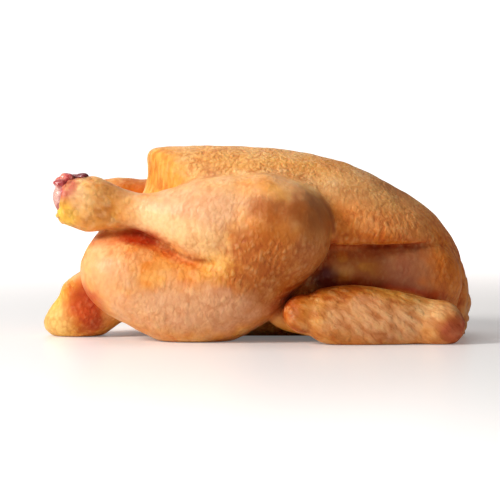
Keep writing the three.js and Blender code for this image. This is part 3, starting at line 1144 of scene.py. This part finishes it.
        # Painted shade: dark red in the deep gap beside the knee, kept off the leg and the wing.
        lay(KNEE_NOOK_SHADE, np.exp(-(((x - 38) / 13) ** 2) - ((z - 39) / 8) ** 2) * trunk * 0.9)
        lay(BROWN, ease(0.55, 0.72, FINE.read(x, y, z, 2.4)) * self.ankle * 0.35)
        lay(PEACH, ease(0.6, 0.75, FINE.read(z, x, y, 2.3)) * self.ankle * 0.3)

    def goose(self) -> np.ndarray:
        """Works out the strength of the goose flesh.

        Returns:
            A share for each point: weak on the arm and drumstick, strong on breast and wing.
        """
        x, z, leg, breast = self.x, self.z, self.on[Part.LEG], self.on[Part.BREAST]
        goose = 0.6 + 0.28 * breast - 0.3 * self.on[Part.ARM]
        goose += 0.35 * leg * np.exp(-(((x + 2) / 30) ** 2) - ((z - 48) / 20) ** 2)
        goose -= leg * ease(58, 70, z) * (0.18 + 0.3 * ease(0, 30, x))
        goose -= 0.3 * leg * ease(-75, -95, x) * ease(66, 58, z)
        goose -= 0.4 * breast * ease(70, 86, z) * ease(10, 50, x)
        goose += 0.4 * ease(104, 114, x) + 0.4 * self.on[Part.WING]
        return np.clip(goose, 0.1, 1) * (1 - self.inner)

    def finish(self) -> dict[str, np.ndarray]:
        """Paints the points.

        Returns:
            A linear colour and eight shares for each point, by attribute name.
        """
        for step in (self.mottle, self.stain, self.fold, self.accents):
            step()
        x, z, on, outer = self.x, self.z, self.on, 1 - self.inner
        coarse = on[Part.WING] + self.ankle * 0.8 + 0.3 * on[Part.LEG] * ease(50, 20, z)
        papilla = np.clip(on[Part.WING] * 0.35 + self.ankle * 0.5 + on[Part.TAIL] * 0.3, 0, 1)
        return {
            "tone": self.paint.tone,
            "goose": self.goose(),
            "coarse": np.clip(coarse, 0, 1),
            "papilla": papilla * ease(0.55, 0.2, self.deep) * outer * ease(0.8, 3, z),
            "wrinkle": on[Part.BREAST] * ease(-38, -50, x) * outer,
            "plume": on[Part.WING] * outer,
            "inner": self.inner,
            "nook": np.clip(self.seam + ease(0.25, 0.75, self.tight), 0, 1),
            "free": ease(0.6, 3.0, z) * (0.4 + 0.6 * ease(0.7, 0.2, self.inner)),
        }


@dataclass(frozen=True)
class HockJoint:
    """The cut end of one drumstick: two cartilage knobs, tendon ends and the red flesh around them."""

    x: float = -116.5
    y: float = -45.0
    z: float = 85.0
    knob: Point = (4.6, 5.6, 8.0)
    spread: float = 5.6
    knob_seam: float = 2.5
    flesh_seam: float = 1.2
    scrap_seam: float = 1.5
    stub_seam: float = 0.8
    rag: float = 1.6
    rag_size: float = 3.2
    tendons: Sequence[Row] = ((0.5, 10.2, 1.7), (-7.5, 8.2, 1.4), (8.0, -7.6, 1.5), (-6.5, -9.0, 1.6))
    scraps: Sequence[tuple[float, float, float, float]] = (
        (12.5, -1.0, 14.0, 3.2),
        (7.5, 1.0, 13.7, 2.4),
        (3.5, -3.0, 13.4, 3.4),
        (0.5, 1.5, 12.4, 3.2),
        (0.5, -6.0, 10.0, 3.4),
    )

    def knobs(self, x: np.ndarray, y: np.ndarray, z: np.ndarray) -> np.ndarray:
        """Reads the two cartilage knobs.

        Args:
            x: X of the points.
            y: Y of the points.
            z: Z of the points.

        Returns:
            The field at each point.
        """
        left = Lump((self.x, self.y - self.spread, self.z + 0.8), self.knob, 8)
        right = Lump((self.x + 0.4, self.y + self.spread, self.z - 0.6), self.knob, 4)
        return join(left.distance(x, y, z), right.distance(x, y, z), self.knob_seam)

    def flesh(self, x: np.ndarray, y: np.ndarray, z: np.ndarray) -> np.ndarray:
        """Reads the torn flesh around the knobs.

        Args:
            x: X of the points.
            y: Y of the points.
            z: Z of the points.

        Returns:
            The field at each point.
        """
        pad = Lump((self.x + 2.2, self.y, self.z + 0.4), (4.4, 12.0, 13.5))
        d = pad.distance(x, y, z)
        for dx, dy, dz, radius in self.scraps:
            scrap = Lump((self.x + dx, self.y + dy, self.z + dz), (radius * 1.3, radius, radius * 0.8))
            d = join(d, scrap.distance(x, y, z), self.scrap_seam)
        return d + self.rag * (RAGGED.read(x, y, z, self.rag_size) - 0.5)

    def distance(self, x: np.ndarray, y: np.ndarray, z: np.ndarray) -> np.ndarray:
        """Reads the whole joint.

        Args:
            x: X of the points.
            y: Y of the points.
            z: Z of the points.

        Returns:
            The field at each point.
        """
        d = join(self.knobs(x, y, z), self.flesh(x, y, z), self.flesh_seam)
        for dy, dz, radius in self.tendons:
            outer = (self.x - 1.6, self.y + dy, self.z + dz)
            inner = (self.x + 6, self.y + dy * 0.9, self.z + dz * 0.9)
            stub = Limb(outer, inner, ((0, radius, radius), (1, radius, radius)))
            d = join(d, stub.distance(x, y, z), self.stub_seam)
        return d

    def build(self) -> SurfaceMesh:
        """Meshes the joint.

        Returns:
            Its closed surface.
        """
        low = (self.x - 8, self.y - 17, self.z - 19)
        high = (self.x + 19, self.y + 17, self.z + 22)
        return SurfaceNet(low, high, 0.55).mesh(self.distance)

    def paint(self, points: np.ndarray) -> dict[str, np.ndarray]:
        """Works out the joint's colours.

        Args:
            points: Points on the joint.

        Returns:
            A linear colour and the share of cartilage at each point.
        """
        x, y, z = points.T
        white = ease(0.9, -0.3, self.knobs(x, y, z))
        for dy, dz, radius in self.tendons:
            away = np.hypot(y - self.y - dy, z - self.z - dz)
            white = np.maximum(white, ease(radius + 0.7, radius - 0.2, away))
        paint = Paint(len(x), MEAT)
        paint.lay(SINEW, ease(0.45, 0.8, RAGGED.read(z, x, y, 3.5)))
        paint.lay(GRISTLE, 0.9 * white)
        paint.lay(YELLOW, ease(-3, -9, z - self.z) * 0.8)
        paint.lay(BLOOD_AND_FOLD_SHADE, ease(0.6, 0.8, RAGGED.read(y, z, x, 4.5)) * 0.7)
        paint.lay(DRY_BLOOD, ease(4, 9, x - self.x) * ease(11, 14, z - self.z) * 0.85)
        return {"tone": paint.tone, "bone": white}

    def dress(self, name: str, shift: Point, finish: bpy.types.Material) -> bpy.types.Object:
        """Makes the joint's piece.

        Args:
            name: Name of the piece.
            shift: Millimetres added to each point.
            finish: Its material.

        Returns:
            The piece.
        """
        surface = self.build()
        piece = surface.to_object(name, shift)
        set_shares(piece, self.paint(surface.points))
        piece.data.materials.append(finish)
        return piece


def set_shares(piece: bpy.types.Object, shares: dict[str, np.ndarray]) -> None:
    """Stores painted values on a piece's points.

    Args:
        piece: The piece.
        shares: Values by attribute name; three columns make a colour.
    """
    for name, values in shares.items():
        if values.ndim == 2:
            layer = piece.data.attributes.new(name, "FLOAT_COLOR", "POINT")
            rgba = np.concatenate([values, np.ones((len(values), 1))], axis=1)
            layer.data.foreach_set("color", rgba.astype(np.float32).ravel())
        else:
            layer = piece.data.attributes.new(name, "FLOAT", "POINT")
            layer.data.foreach_set("value", values.astype(np.float32))


class Sketch:
    """Short hand for adding and joining nodes in one node tree."""

    def __init__(self, tree: bpy.types.NodeTree) -> None:
        """Keeps the tree."""
        self.tree = tree

    def add(self, kind: str, inputs: dict | None = None, **settings: object) -> bpy.types.Node:
        """Adds a node.

        Args:
            kind: The node's type.
            inputs: Values or output sockets for its inputs, by name or place.
            **settings: The node's own settings.

        Returns:
            The node.
        """
        node = self.tree.nodes.new(kind)
        for name, value in settings.items():
            setattr(node, name, value)
        self.fill(node, inputs or {})
        return node

    def fill(self, node: bpy.types.Node, inputs: dict) -> None:
        """Sets or joins a node's inputs.

        Args:
            node: The node.
            inputs: Values or output sockets for its inputs, by name or place.
        """
        for key, value in inputs.items():
            if isinstance(value, Socket):
                self.tree.links.new(value, node.inputs[key])
            else:
                node.inputs[key].default_value = value

    def math(self, operation: str, *values: Value) -> Socket:
        """Adds a Math node of some numbers or sockets."""
        return self.add("ShaderNodeMath", dict(enumerate(values)), operation=operation).outputs[0]

    def product(self, *values: Value) -> Socket:
        """Multiplies two or more numbers or sockets."""
        first, *rest = values
        return self.math("MULTIPLY", first, self.product(*rest) if len(rest) > 1 else rest[0])

    def mix(self, factor: Value, a: Tint, b: Tint, blend: str = "MIX") -> Socket:
        """Mixes colour b into colour a by a factor."""
        inputs = {0: factor, 6: a, 7: b}
        return self.add("ShaderNodeMix", inputs, data_type="RGBA", blend_type=blend).outputs[2]

    def vector(self, operation: str, a: Socket, b: Socket | Point) -> Socket:
        """Adds a Vector Math node of two vectors."""
        return self.add("ShaderNodeVectorMath", {0: a, 1: b}, operation=operation).outputs[0]

    def ramp(self, value: Socket, low: float, high: float) -> Socket:
        """Smooth step from 0 at low to 1 at high.

        Args:
            value: Socket that is read.
            low: Value that gives 0.
            high: Value that gives 1.

        Returns:
            The eased value.
        """
        flip = high < low
        span = {1: min(low, high), 2: max(low, high), 3: float(flip), 4: float(not flip)}
        return self.add("ShaderNodeMapRange", {0: value, **span}, interpolation_type="SMOOTHSTEP").outputs[0]

    def share(self, name: str) -> Socket:
        """Reads a painted share in a material."""
        return self.add("ShaderNodeAttribute", attribute_name=name).outputs["Fac"]


def socket(
    tree: bpy.types.NodeTree,
    name: str,
    kind: str = "Float",
    default: float | None = None,
    out: bool = False,
) -> str:
    """Adds a named socket to a node group.

    Args:
        tree: The group.
        name: Name of the socket.
        kind: What it carries.
        default: Its default value.
        out: True for an output.

    Returns:
        The socket's identifier.
    """
    side = "OUTPUT" if out else "INPUT"
    made = tree.interface.new_socket(name, in_out=side, socket_type="NodeSocket" + kind)
    if default is not None:
        made.default_value = default
    return made.identifier


class GooseFleshPattern:
    """Shader group for the pattern of raised pores: its height and its colour masks."""

    def __init__(self) -> None:
        """Builds the group once for every material that uses it."""
        tree = bpy.data.node_groups.new("goose_flesh_pattern", "ShaderNodeTree")
        for name, default in (("Spacing", 0.003), ("Stretch", 1.0), ("Turn", 0.0)):
            socket(tree, name, default=default)
        for name in ("Height", "Pit"):
            socket(tree, name, out=True)
        s = Sketch(tree)
        given = s.add("NodeGroupInput").outputs
        spot = s.add("ShaderNodeTexCoord").outputs["Object"]
        warp = s.add("ShaderNodeTexNoise", {"Vector": spot, "Scale": 240.0, "Detail": 1.0})
        bend = s.vector("SUBTRACT", warp.outputs["Color"], (0.5, 0.5, 0.5))
        bend = s.add("ShaderNodeVectorMath", {0: bend, "Scale": 0.0022}, operation="SCALE").outputs[0]
        lean = {"Vector": s.vector("ADD", spot, bend), "Angle": given["Turn"]}
        spot = s.add("ShaderNodeVectorRotate", lean, rotation_type="Y_AXIS").outputs[0]
        rate = s.math("DIVIDE", 1.0, given["Spacing"])
        tall = s.math("DIVIDE", rate, given["Stretch"])
        scale = s.add("ShaderNodeCombineXYZ", {0: rate, 1: rate, 2: tall}).outputs[0]
        spot = s.vector("MULTIPLY", spot, scale)
        pores = s.add("ShaderNodeTexVoronoi", {"Vector": spot, "Scale": 1.0}, feature="F1")
        away = pores.outputs["Distance"]
        cloud = {"Vector": spot, "Scale": 0.85, "Detail": 3.0, "Roughness": 0.62}
        rough = s.ramp(s.add("ShaderNodeTexNoise", cloud).outputs["Fac"], 0.3, 0.7)
        height = s.math("ADD", s.product(s.ramp(away, 0.8, 0.1), 0.65), s.product(rough, 0.6))
        gap = s.math("SUBTRACT", s.math("ADD", away, 0.25), s.product(rough, 0.5))
        s.add("NodeGroupOutput", {"Height": height, "Pit": s.ramp(gap, 0.35, 0.9)})
        self.tree = tree

    def place(self, s: Sketch, spacing: float, stretch: float, turn: float = 0.0) -> bpy.types.Node:
        """Places the group in a material.

        Args:
            s: The material's sketch.
            spacing: Distance between pores in metres.
            stretch: How much longer the pattern is upright.
            turn: Degrees that the long way leans over.

        Returns:
            The group's node, with its Height and Pit outputs.
        """
        node = s.add("ShaderNodeGroup", node_tree=self.tree)
        for name, value in (("Spacing", spacing), ("Stretch", stretch), ("Turn", math.radians(turn))):
            node.inputs[name].default_value = value
        return node


class MottlePattern:
    """Shader group for soft uneven patches, such as fat and blood that show through skin."""

    def __init__(self) -> None:
        """Builds the group once for every material that uses it."""
        tree = bpy.data.node_groups.new("mottle_pattern", "ShaderNodeTree")
        socket(tree, "Size", default=0.01)
        socket(tree, "Mask", out=True)
        s = Sketch(tree)
        given = s.add("NodeGroupInput")
        spot = s.add("ShaderNodeTexCoord").outputs["Object"]
        rate = s.math("DIVIDE", 1.0, given.outputs["Size"])
        look = {"Detail": 4.0, "Roughness": 0.6, "Distortion": 0.4}
        cloud = s.add("ShaderNodeTexNoise", {"Vector": spot, "Scale": rate, **look})
        s.add("NodeGroupOutput", {"Mask": s.ramp(cloud.outputs["Fac"], 0.38, 0.66)})
        self.tree = tree

    def place(self, s: Sketch, size: float) -> Socket:
        """Places the group in a material.

        Args:
            s: The material's sketch.
            size: Size of the patches in metres.

        Returns:
            The patch mask.
        """
        node = s.add("ShaderNodeGroup", node_tree=self.tree)
        node.inputs["Size"].default_value = size
        return node.outputs["Mask"]


def new_material(name: str) -> tuple[bpy.types.Material, Sketch, bpy.types.Node]:
    """Makes an empty node material.

    Args:
        name: Its name.

    Returns:
        The material, its sketch and its Principled shader.
    """
    material = bpy.data.materials.new(name)
    material.use_nodes = True
    material.node_tree.nodes.clear()
    s = Sketch(material.node_tree)
    shader = s.add("ShaderNodeBsdfPrincipled")
    s.add("ShaderNodeOutputMaterial", {"Surface": shader.outputs[0]})
    return material, s, shader


@dataclass(frozen=True)
class SkinFinish:
    """Moist raw skin over fat: painted tones, goose flesh and light that spreads inside it."""

    fine_pores: tuple[float, float, float] = (0.0026, 1.6, -12)
    coarse_pores: tuple[float, float, float] = (0.0042, 1.5, 10)
    wrinkles: tuple[float, float] = (0.003, 3.5)
    barbs: tuple[float, float, float] = (0.0038, 2.8, 50)
    peak_tint: tuple[float, float, float, float] = (1.0, 0.8, 0.4, 1)
    pit_tint: tuple[float, float, float, float] = (0.74, 0.52, 0.36, 1)
    freckle_tint: tuple[float, float, float, float] = (0.84, 0.68, 0.5, 1)
    patch_size: float = 0.012
    freckle_size: float = 0.006
    bump: float = 0.00075
    roughness: float = 0.43
    goose_roughness: float = 0.1
    inner_shine: float = 0.16
    nook_roughness: float = 0.5
    coat: float = 0.04

    def pattern(self, s: Sketch, pores: GooseFleshPattern) -> tuple[Socket, Socket]:
        """Picks among four sizes of the goose flesh by the painted shares.

        Args:
            s: The material's sketch.
            pores: The goose flesh group.

        Returns:
            The height of the pores and the mask of the pits between them.
        """
        first = pores.place(s, *self.fine_pores)
        layers = (("coarse", self.coarse_pores), ("wrinkle", self.wrinkles), ("plume", self.barbs))
        picked = {name: first.outputs[name] for name in ("Height", "Pit")}
        for share, sizes in layers:
            layer, amount = pores.place(s, *sizes), s.share(share)
            for name, mixed in picked.items():
                change = s.math("SUBTRACT", layer.outputs[name], mixed)
                picked[name] = s.math("ADD", mixed, s.product(change, amount))
        return picked["Height"], picked["Pit"]

    def make(self, pores: GooseFleshPattern, mottle: MottlePattern) -> bpy.types.Material:
        """Builds the material.

        Args:
            pores: The goose flesh group.
            mottle: The patch group.

        Returns:
            The material.
        """
        material, s, shader = new_material("raw_skin")
        tone = s.add("ShaderNodeAttribute", attribute_name="tone").outputs["Color"]
        height, pit = self.pattern(s, pores)
        patches = s.math("ADD", 0.55, s.product(mottle.place(s, self.patch_size), 0.45))
        strength = s.product(s.share("goose"), patches)
        peak = s.product(s.ramp(height, 0.55, 1.2), strength, 0.5)
        colour = s.mix(peak, tone, s.mix(0.35, tone, self.peak_tint))
        colour = s.mix(s.product(pit, strength), colour, self.pit_tint, "MULTIPLY")
        freckle = s.product(mottle.place(s, self.freckle_size), strength, 0.7)
        colour = s.mix(freckle, colour, self.freckle_tint, "MULTIPLY")
        rough = s.math("ADD", self.roughness, s.product(strength, self.goose_roughness))
        rough = s.math("SUBTRACT", rough, s.product(s.share("inner"), self.inner_shine))
        nook = s.share("nook")
        rough = s.math("ADD", rough, s.product(nook, self.nook_roughness))
        relief = {"Strength": 1.0, "Distance": self.bump, "Height": s.product(height, strength)}
        inputs = {
            "Base Color": colour,
            "Roughness": rough,
            "Coat Weight": s.product(s.math("SUBTRACT", 1.0, nook), self.coat),
            "Normal": s.add("ShaderNodeBump", relief).outputs[0],
            "Subsurface Weight": 0.32,
            "Subsurface Radius": (1.0, 0.42, 0.2),
            "Subsurface Scale": 0.0035,
            "Specular IOR Level": 0.2,
            "Coat Roughness": 0.28,
        }
        s.fill(shader, inputs)
        return material


@dataclass(frozen=True)
class JointFinish:
    """Wet cartilage and torn flesh at the cut end of a drumstick."""

    wet: float = 0.3
    roughness: float = 0.42
    bone_shine: float = 0.14
    blood_tint: tuple[float, float, float, float] = (0.25, 0.02, 0.02, 1)
    patch_size: float = 0.003

    def make(self, mottle: MottlePattern) -> bpy.types.Material:
        """Builds the material.

        Args:
            mottle: The patch group.

        Returns:
            The material.
        """
        material, s, shader = new_material("hock_joint")
        tone = s.add("ShaderNodeAttribute", attribute_name="tone").outputs["Color"]
        patch = mottle.place(s, self.patch_size)
        relief = {"Strength": 0.6, "Distance": 0.0006, "Height": patch}
        inputs = {
            "Base Color": s.mix(s.product(patch, 0.3), tone, s.mix(0.5, tone, self.blood_tint)),
            "Roughness": s.math("SUBTRACT", self.roughness, s.product(s.share("bone"), self.bone_shine)),
            "Normal": s.add("ShaderNodeBump", relief).outputs[0],
            "Subsurface Weight": 0.2,
            "Subsurface Radius": (1.0, 0.4, 0.3),
            "Subsurface Scale": 0.002,
            "Coat Weight": self.wet,
            "Coat Roughness": 0.15,
        }
        s.fill(shader, inputs)
        return material


def plain_copy(piece: bpy.types.Object, name: str) -> bpy.types.Object:
    """Turns what a piece's node tree makes into a plain mesh.

    Args:
        piece: The piece with its modifier.
        name: Name of the result.

    Returns:
        A new object with the plain mesh.
    """
    bpy.context.view_layer.update()
    evaluated = piece.evaluated_get(bpy.context.evaluated_depsgraph_get())
    mesh = bpy.data.meshes.new_from_object(evaluated)
    mesh.name = name
    made = bpy.data.objects.new(name, mesh)
    bpy.context.scene.collection.objects.link(made)
    return made


def with_tree(
    piece: bpy.types.Object,
    tree: bpy.types.NodeTree,
    values: dict[str, float],
) -> bpy.types.Modifier:
    """Gives a piece a node tree as its modifier.

    Args:
        piece: The piece.
        tree: The tree.
        values: Values of the tree's inputs by socket identifier.

    Returns:
        The modifier.
    """
    modifier = piece.modifiers.new(tree.name, "NODES")
    modifier.node_group = tree
    for identifier, value in values.items():
        modifier[identifier] = value
    return modifier


def close_tree(s: Sketch, shape: Socket, material: bpy.types.Material) -> None:
    """Ends a node tree: its shape is made real and given its material.

    Args:
        s: The tree's sketch.
        shape: The finished shape.
        material: Its material.
    """
    real = s.add("GeometryNodeRealizeInstances", {0: shape})
    dressed = s.add("GeometryNodeSetMaterial", {"Geometry": real.outputs[0], "Material": material})
    s.add("NodeGroupOutput", {0: dressed.outputs[0]})


@dataclass(frozen=True)
class Relief:
    """Node tree that gives skin its soft dents and folds, so that no area is a perfect curve."""

    height: float = 0.0011
    size: float = 0.016
    seed: float = 4.0
    level: float = 0.55

    def tree(self, material: bpy.types.Material) -> tuple[bpy.types.NodeTree, dict[str, float]]:
        """Builds the tree.

        Args:
            material: Material that the tree sets.

        Returns:
            The tree and the values of its inputs by socket identifier.
        """
        tree = bpy.data.node_groups.new("skin_relief", "GeometryNodeTree")
        socket(tree, "Geometry", "Geometry")
        values = {
            socket(tree, "Height", default=0.001): self.height,
            socket(tree, "Size", default=0.01): self.size,
            socket(tree, "Seed", default=0.0): self.seed,
        }
        socket(tree, "Geometry", "Geometry", out=True)
        s = Sketch(tree)
        given = s.add("NodeGroupInput").outputs
        spot = s.add("GeometryNodeInputPosition").outputs[0]
        rate = s.math("DIVIDE", 1.0, given["Size"])
        look = {"Vector": spot, "W": given["Seed"], "Scale": rate, "Detail": 2.5, "Roughness": 0.55}
        cloud = s.add("ShaderNodeTexNoise", look, noise_dimensions="4D").outputs[0]
        rise = s.math("SUBTRACT", cloud, self.level)
        amount = s.math("MULTIPLY", s.product(rise, 2.0), given["Height"])
        free = s.add("GeometryNodeInputNamedAttribute", {"Name": "free"}, data_type="FLOAT").outputs[0]
        normal = s.add("GeometryNodeInputNormal").outputs[0]
        way = {0: normal, "Scale": s.product(amount, free)}
        push = s.add("ShaderNodeVectorMath", way, operation="SCALE").outputs[0]
        moved = s.add("GeometryNodeSetPosition", {"Geometry": given["Geometry"], "Offset": push})
        close_tree(s, moved.outputs[0], material)
        return tree, values

    def apply(self, piece: bpy.types.Object, material: bpy.types.Material) -> bpy.types.Object:
        """Gives a piece its relief.

        Args:
            piece: The smooth piece, which is removed.
            material: Its material.

        Returns:
            The finished plain piece.
        """
        with_tree(piece, *self.tree(material))
        name = piece.name
        piece.name = name + "_smooth"
        made = plain_copy(piece, name)
        bpy.data.objects.remove(piece)
        return made


@dataclass(frozen=True)
class Papillae:
    """Node tree that sets raised pores all over the coarse skin of the wings, ankles and tail."""

    spacing: float = 0.0036
    radius: float = 0.0018
    height: float = 0.0003
    sunk: float = 0.00005
    sides: int = 9
    smallest: float = 0.7
    largest: float = 1.2
    density: float = 200000.0
    seed: int = 7

    def pore(self, s: Sketch, radius: Socket, height: Socket) -> Socket:
        """Shapes one pore, a low dome with its rim sunk into the skin.

        Args:
            s: The tree's sketch.
            radius: Its radius.
            height: Its height.

        Returns:
            The pore's mesh.
        """
        rings = {"Vertices": self.sides, "Side Segments": 3}
        sizes = {"Radius Top": 0.0, "Radius Bottom": radius, "Depth": 0.0005}
        cone = s.add("GeometryNodeMeshCone", {**rings, **sizes}, fill_type="NONE").outputs["Mesh"]
        flat = s.add("ShaderNodeSeparateXYZ", {0: s.add("GeometryNodeInputPosition").outputs[0]}).outputs
        across = s.math("ADD", s.math("POWER", flat[0], 2.0), s.math("POWER", flat[1], 2.0))
        out = s.math("DIVIDE", s.math("SQRT", across), radius)
        share = s.math("MAXIMUM", s.math("SUBTRACT", 1.0, s.product(out, out)), 0.0)
        rise = s.math("SUBTRACT", s.product(s.math("POWER", share, 2.0), height), self.sunk)
        place = s.add("ShaderNodeCombineXYZ", {0: flat[0], 1: flat[1], 2: rise}).outputs[0]
        shaped = s.add("GeometryNodeSetPosition", {"Geometry": cone, "Position": place}).outputs[0]
        return s.add("GeometryNodeSetShadeSmooth", {"Geometry": shaped}).outputs[0]

    def tree(self, material: bpy.types.Material) -> tuple[bpy.types.NodeTree, dict[str, float]]:
        """Builds the tree.

        Args:
            material: Material that the tree sets.

        Returns:
            The tree and the values of its inputs by socket identifier.
        """
        tree = bpy.data.node_groups.new("papillae", "GeometryNodeTree")
        socket(tree, "Geometry", "Geometry")
        values = {
            socket(tree, "Spacing", default=0.003): self.spacing,
            socket(tree, "Radius", default=0.001): self.radius,
            socket(tree, "Height", default=0.0005): self.height,
            socket(tree, "Seed", "Int", 0): self.seed,
        }
        socket(tree, "Geometry", "Geometry", out=True)
        s = Sketch(tree)
        given = s.add("NodeGroupInput").outputs
        share = s.add("GeometryNodeInputNamedAttribute", {"Name": "papilla"}, data_type="FLOAT").outputs[0]
        where = {
            "Mesh": given["Geometry"],
            "Seed": given["Seed"],
            "Distance Min": given["Spacing"],
            "Density Max": self.density,
            "Density Factor": share,
        }
        spots = s.add("GeometryNodeDistributePointsOnFaces", where, distribute_method="POISSON").outputs
        sizes = {2: self.smallest, 3: self.largest, "Seed": given["Seed"]}
        what = {
            "Points": spots["Points"],
            "Instance": self.pore(s, given["Radius"], given["Height"]),
            "Rotation": spots["Rotation"],
            "Scale": s.add("FunctionNodeRandomValue", sizes, data_type="FLOAT").outputs[1],
        }
        close_tree(s, s.add("GeometryNodeInstanceOnPoints", what).outputs[0], material)
        return tree, values

    def grow(self, skin: bpy.types.Object, material: bpy.types.Material) -> bpy.types.Object:
        """Grows the pores on the skin.

        Args:
            skin: The skin, which keeps its own mesh.
            material: Their material.

        Returns:
            The pores as one plain piece.
        """
        modifier = with_tree(skin, *self.tree(material))
        made = plain_copy(skin, "raised_pores")
        skin.modifiers.remove(modifier)
        return made


@dataclass(frozen=True)
class Studio:
    """A white table, soft lamps and the camera."""

    distance: float = 1.6
    elevation: float = 2.5
    target: Point = (-0.00359, 0.0, 0.053)
    span: float = 0.31
    table_half: float = 4.0
    table_drop: float = 0.0001
    sensor: float = 36.0

    def camera(self) -> None:
        """Places the camera at the photograph's angle."""
        lens = bpy.data.cameras.new("camera")
        lens.sensor_width = self.sensor
        lens.lens = self.sensor * self.distance / self.span
        lens.clip_end = 20
        view = bpy.data.objects.new("camera", lens)
        tilt = math.radians(self.elevation)
        view.location = (
            self.target[0],
            self.target[1] - self.distance * math.cos(tilt),
            self.target[2] + self.distance * math.sin(tilt),
        )
        view.rotation_euler = (math.pi / 2 - tilt, 0, 0)
        bpy.context.scene.collection.objects.link(view)
        bpy.context.scene.camera = view

    def lamp(self, name: str, place: Point, size: float, watts: float, colour: Point = (1, 1, 1)) -> None:
        """Hangs a square soft lamp that faces the bird.

        Args:
            name: Name of the lamp.
            place: Where it hangs, in metres.
            size: Side of its square.
            watts: Its power.
            colour: Its colour.
        """
        data = bpy.data.lights.new(name, "AREA")
        data.size, data.energy, data.color = size, watts, colour
        lamp = bpy.data.objects.new(name, data)
        away = np.array(place) - np.array(self.target)
        lamp.location = place
        lamp.rotation_euler = (
            math.atan2(math.hypot(away[0], away[1]), away[2]),
            0,
            math.atan2(away[1], away[0]) + math.pi / 2,
        )
        bpy.context.scene.collection.objects.link(lamp)

    def table(self) -> None:
        """Lays the white table, which glows far from the bird to meet the white room."""
        half = self.table_half
        corners = ((-half, -half), (half, -half), (half, half), (-half, half))
        mesh = bpy.data.meshes.new("table")
        mesh.from_pydata([(x, y, -self.table_drop) for x, y in corners], [], [(0, 1, 2, 3)])
        table = bpy.data.objects.new("table", mesh)
        bpy.context.scene.collection.objects.link(table)
        material, s, shader = new_material("white_table")
        haze = s.add("ShaderNodeTexNoise", {"Scale": 3.0, "Detail": 2.0}).outputs["Fac"]
        spot = s.add("ShaderNodeTexCoord").outputs["Object"]
        away = s.add("ShaderNodeVectorMath", {0: spot}, operation="LENGTH").outputs["Value"]
        # Painted light: the table glows for the camera only, faintly beside the bird and strongly far away,
        # in a slightly pink white.
        glow = s.math("ADD", 0.14, s.ramp(away, 0.15, 1.5))
        seen = s.add("ShaderNodeLightPath").outputs["Is Camera Ray"]
        inputs = {
            "Base Color": s.mix(haze, (0.86, 0.85, 0.85, 1), (0.9, 0.89, 0.89, 1)),
            "Roughness": 0.32,
            "Emission Color": (1.0, 0.93, 0.9, 1),
            "Emission Strength": s.product(seen, glow),
        }
        s.fill(shader, inputs)
        mesh.materials.append(material)

    def room(self) -> None:
        """Sets the white surroundings, which light the bird little."""
        world = bpy.data.worlds.new("white_room")
        world.use_nodes = True
        air = Sketch(world.node_tree)
        seen = air.add("ShaderNodeLightPath").outputs["Is Camera Ray"]
        inputs = {"Color": (1.0, 0.98, 0.96, 1), "Strength": air.math("ADD", 0.2, seen)}
        air.fill(world.node_tree.nodes["Background"], inputs)
        bpy.context.scene.world = world

    def build(self) -> None:
        """Sets up the whole studio."""
        self.camera()
        self.table()
        self.room()
        self.lamp("key", (-1.3, -0.72, 0.85), 0.5, 31, (1.0, 0.98, 0.94))
        self.lamp("top", (-0.4, 0.3, 1.3), 0.8, 5)
        self.lamp("fill", (0.6, -1.4, 0.6), 0.9, 1.6, (1.0, 0.95, 0.88))
        self.lamp("back", (-0.3, 1.3, 0.9), 1.2, 4)
        bpy.context.scene.view_settings.view_transform = "Standard"


def declare(piece: bpy.types.Object) -> None:
    """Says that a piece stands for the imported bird.

    Args:
        piece: The piece.
    """
    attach(piece, "root")
    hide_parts("chicken")
    LOG.info("%s: %d faces", piece.name, len(piece.data.polygons))


def main() -> None:
    """Builds the bird, dresses it and sets the studio around it."""
    logging.basicConfig(level=logging.INFO, format="%(message)s")
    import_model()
    pores, mottle = GooseFleshPattern(), MottlePattern()
    carcass = Carcass()
    pieces = carcass.dress(SkinFinish().make(pores, mottle))

    joint_finish = JointFinish().make(mottle)
    near = HockJoint()
    far = HockJoint(
        x=near.x + carcass.far_hock_ahead,
        y=-near.y,
        z=near.z + carcass.far_hock_lift,
        scraps=near.scraps[3:],
    )
    for name, hock in (("hock_near", near), ("hock_far", far)):
        pieces.append(hock.dress(name, carcass.shift, joint_finish))
    for piece in pieces:
        declare(piece)

    Studio().build()


if __name__ == "__main__":
    main()
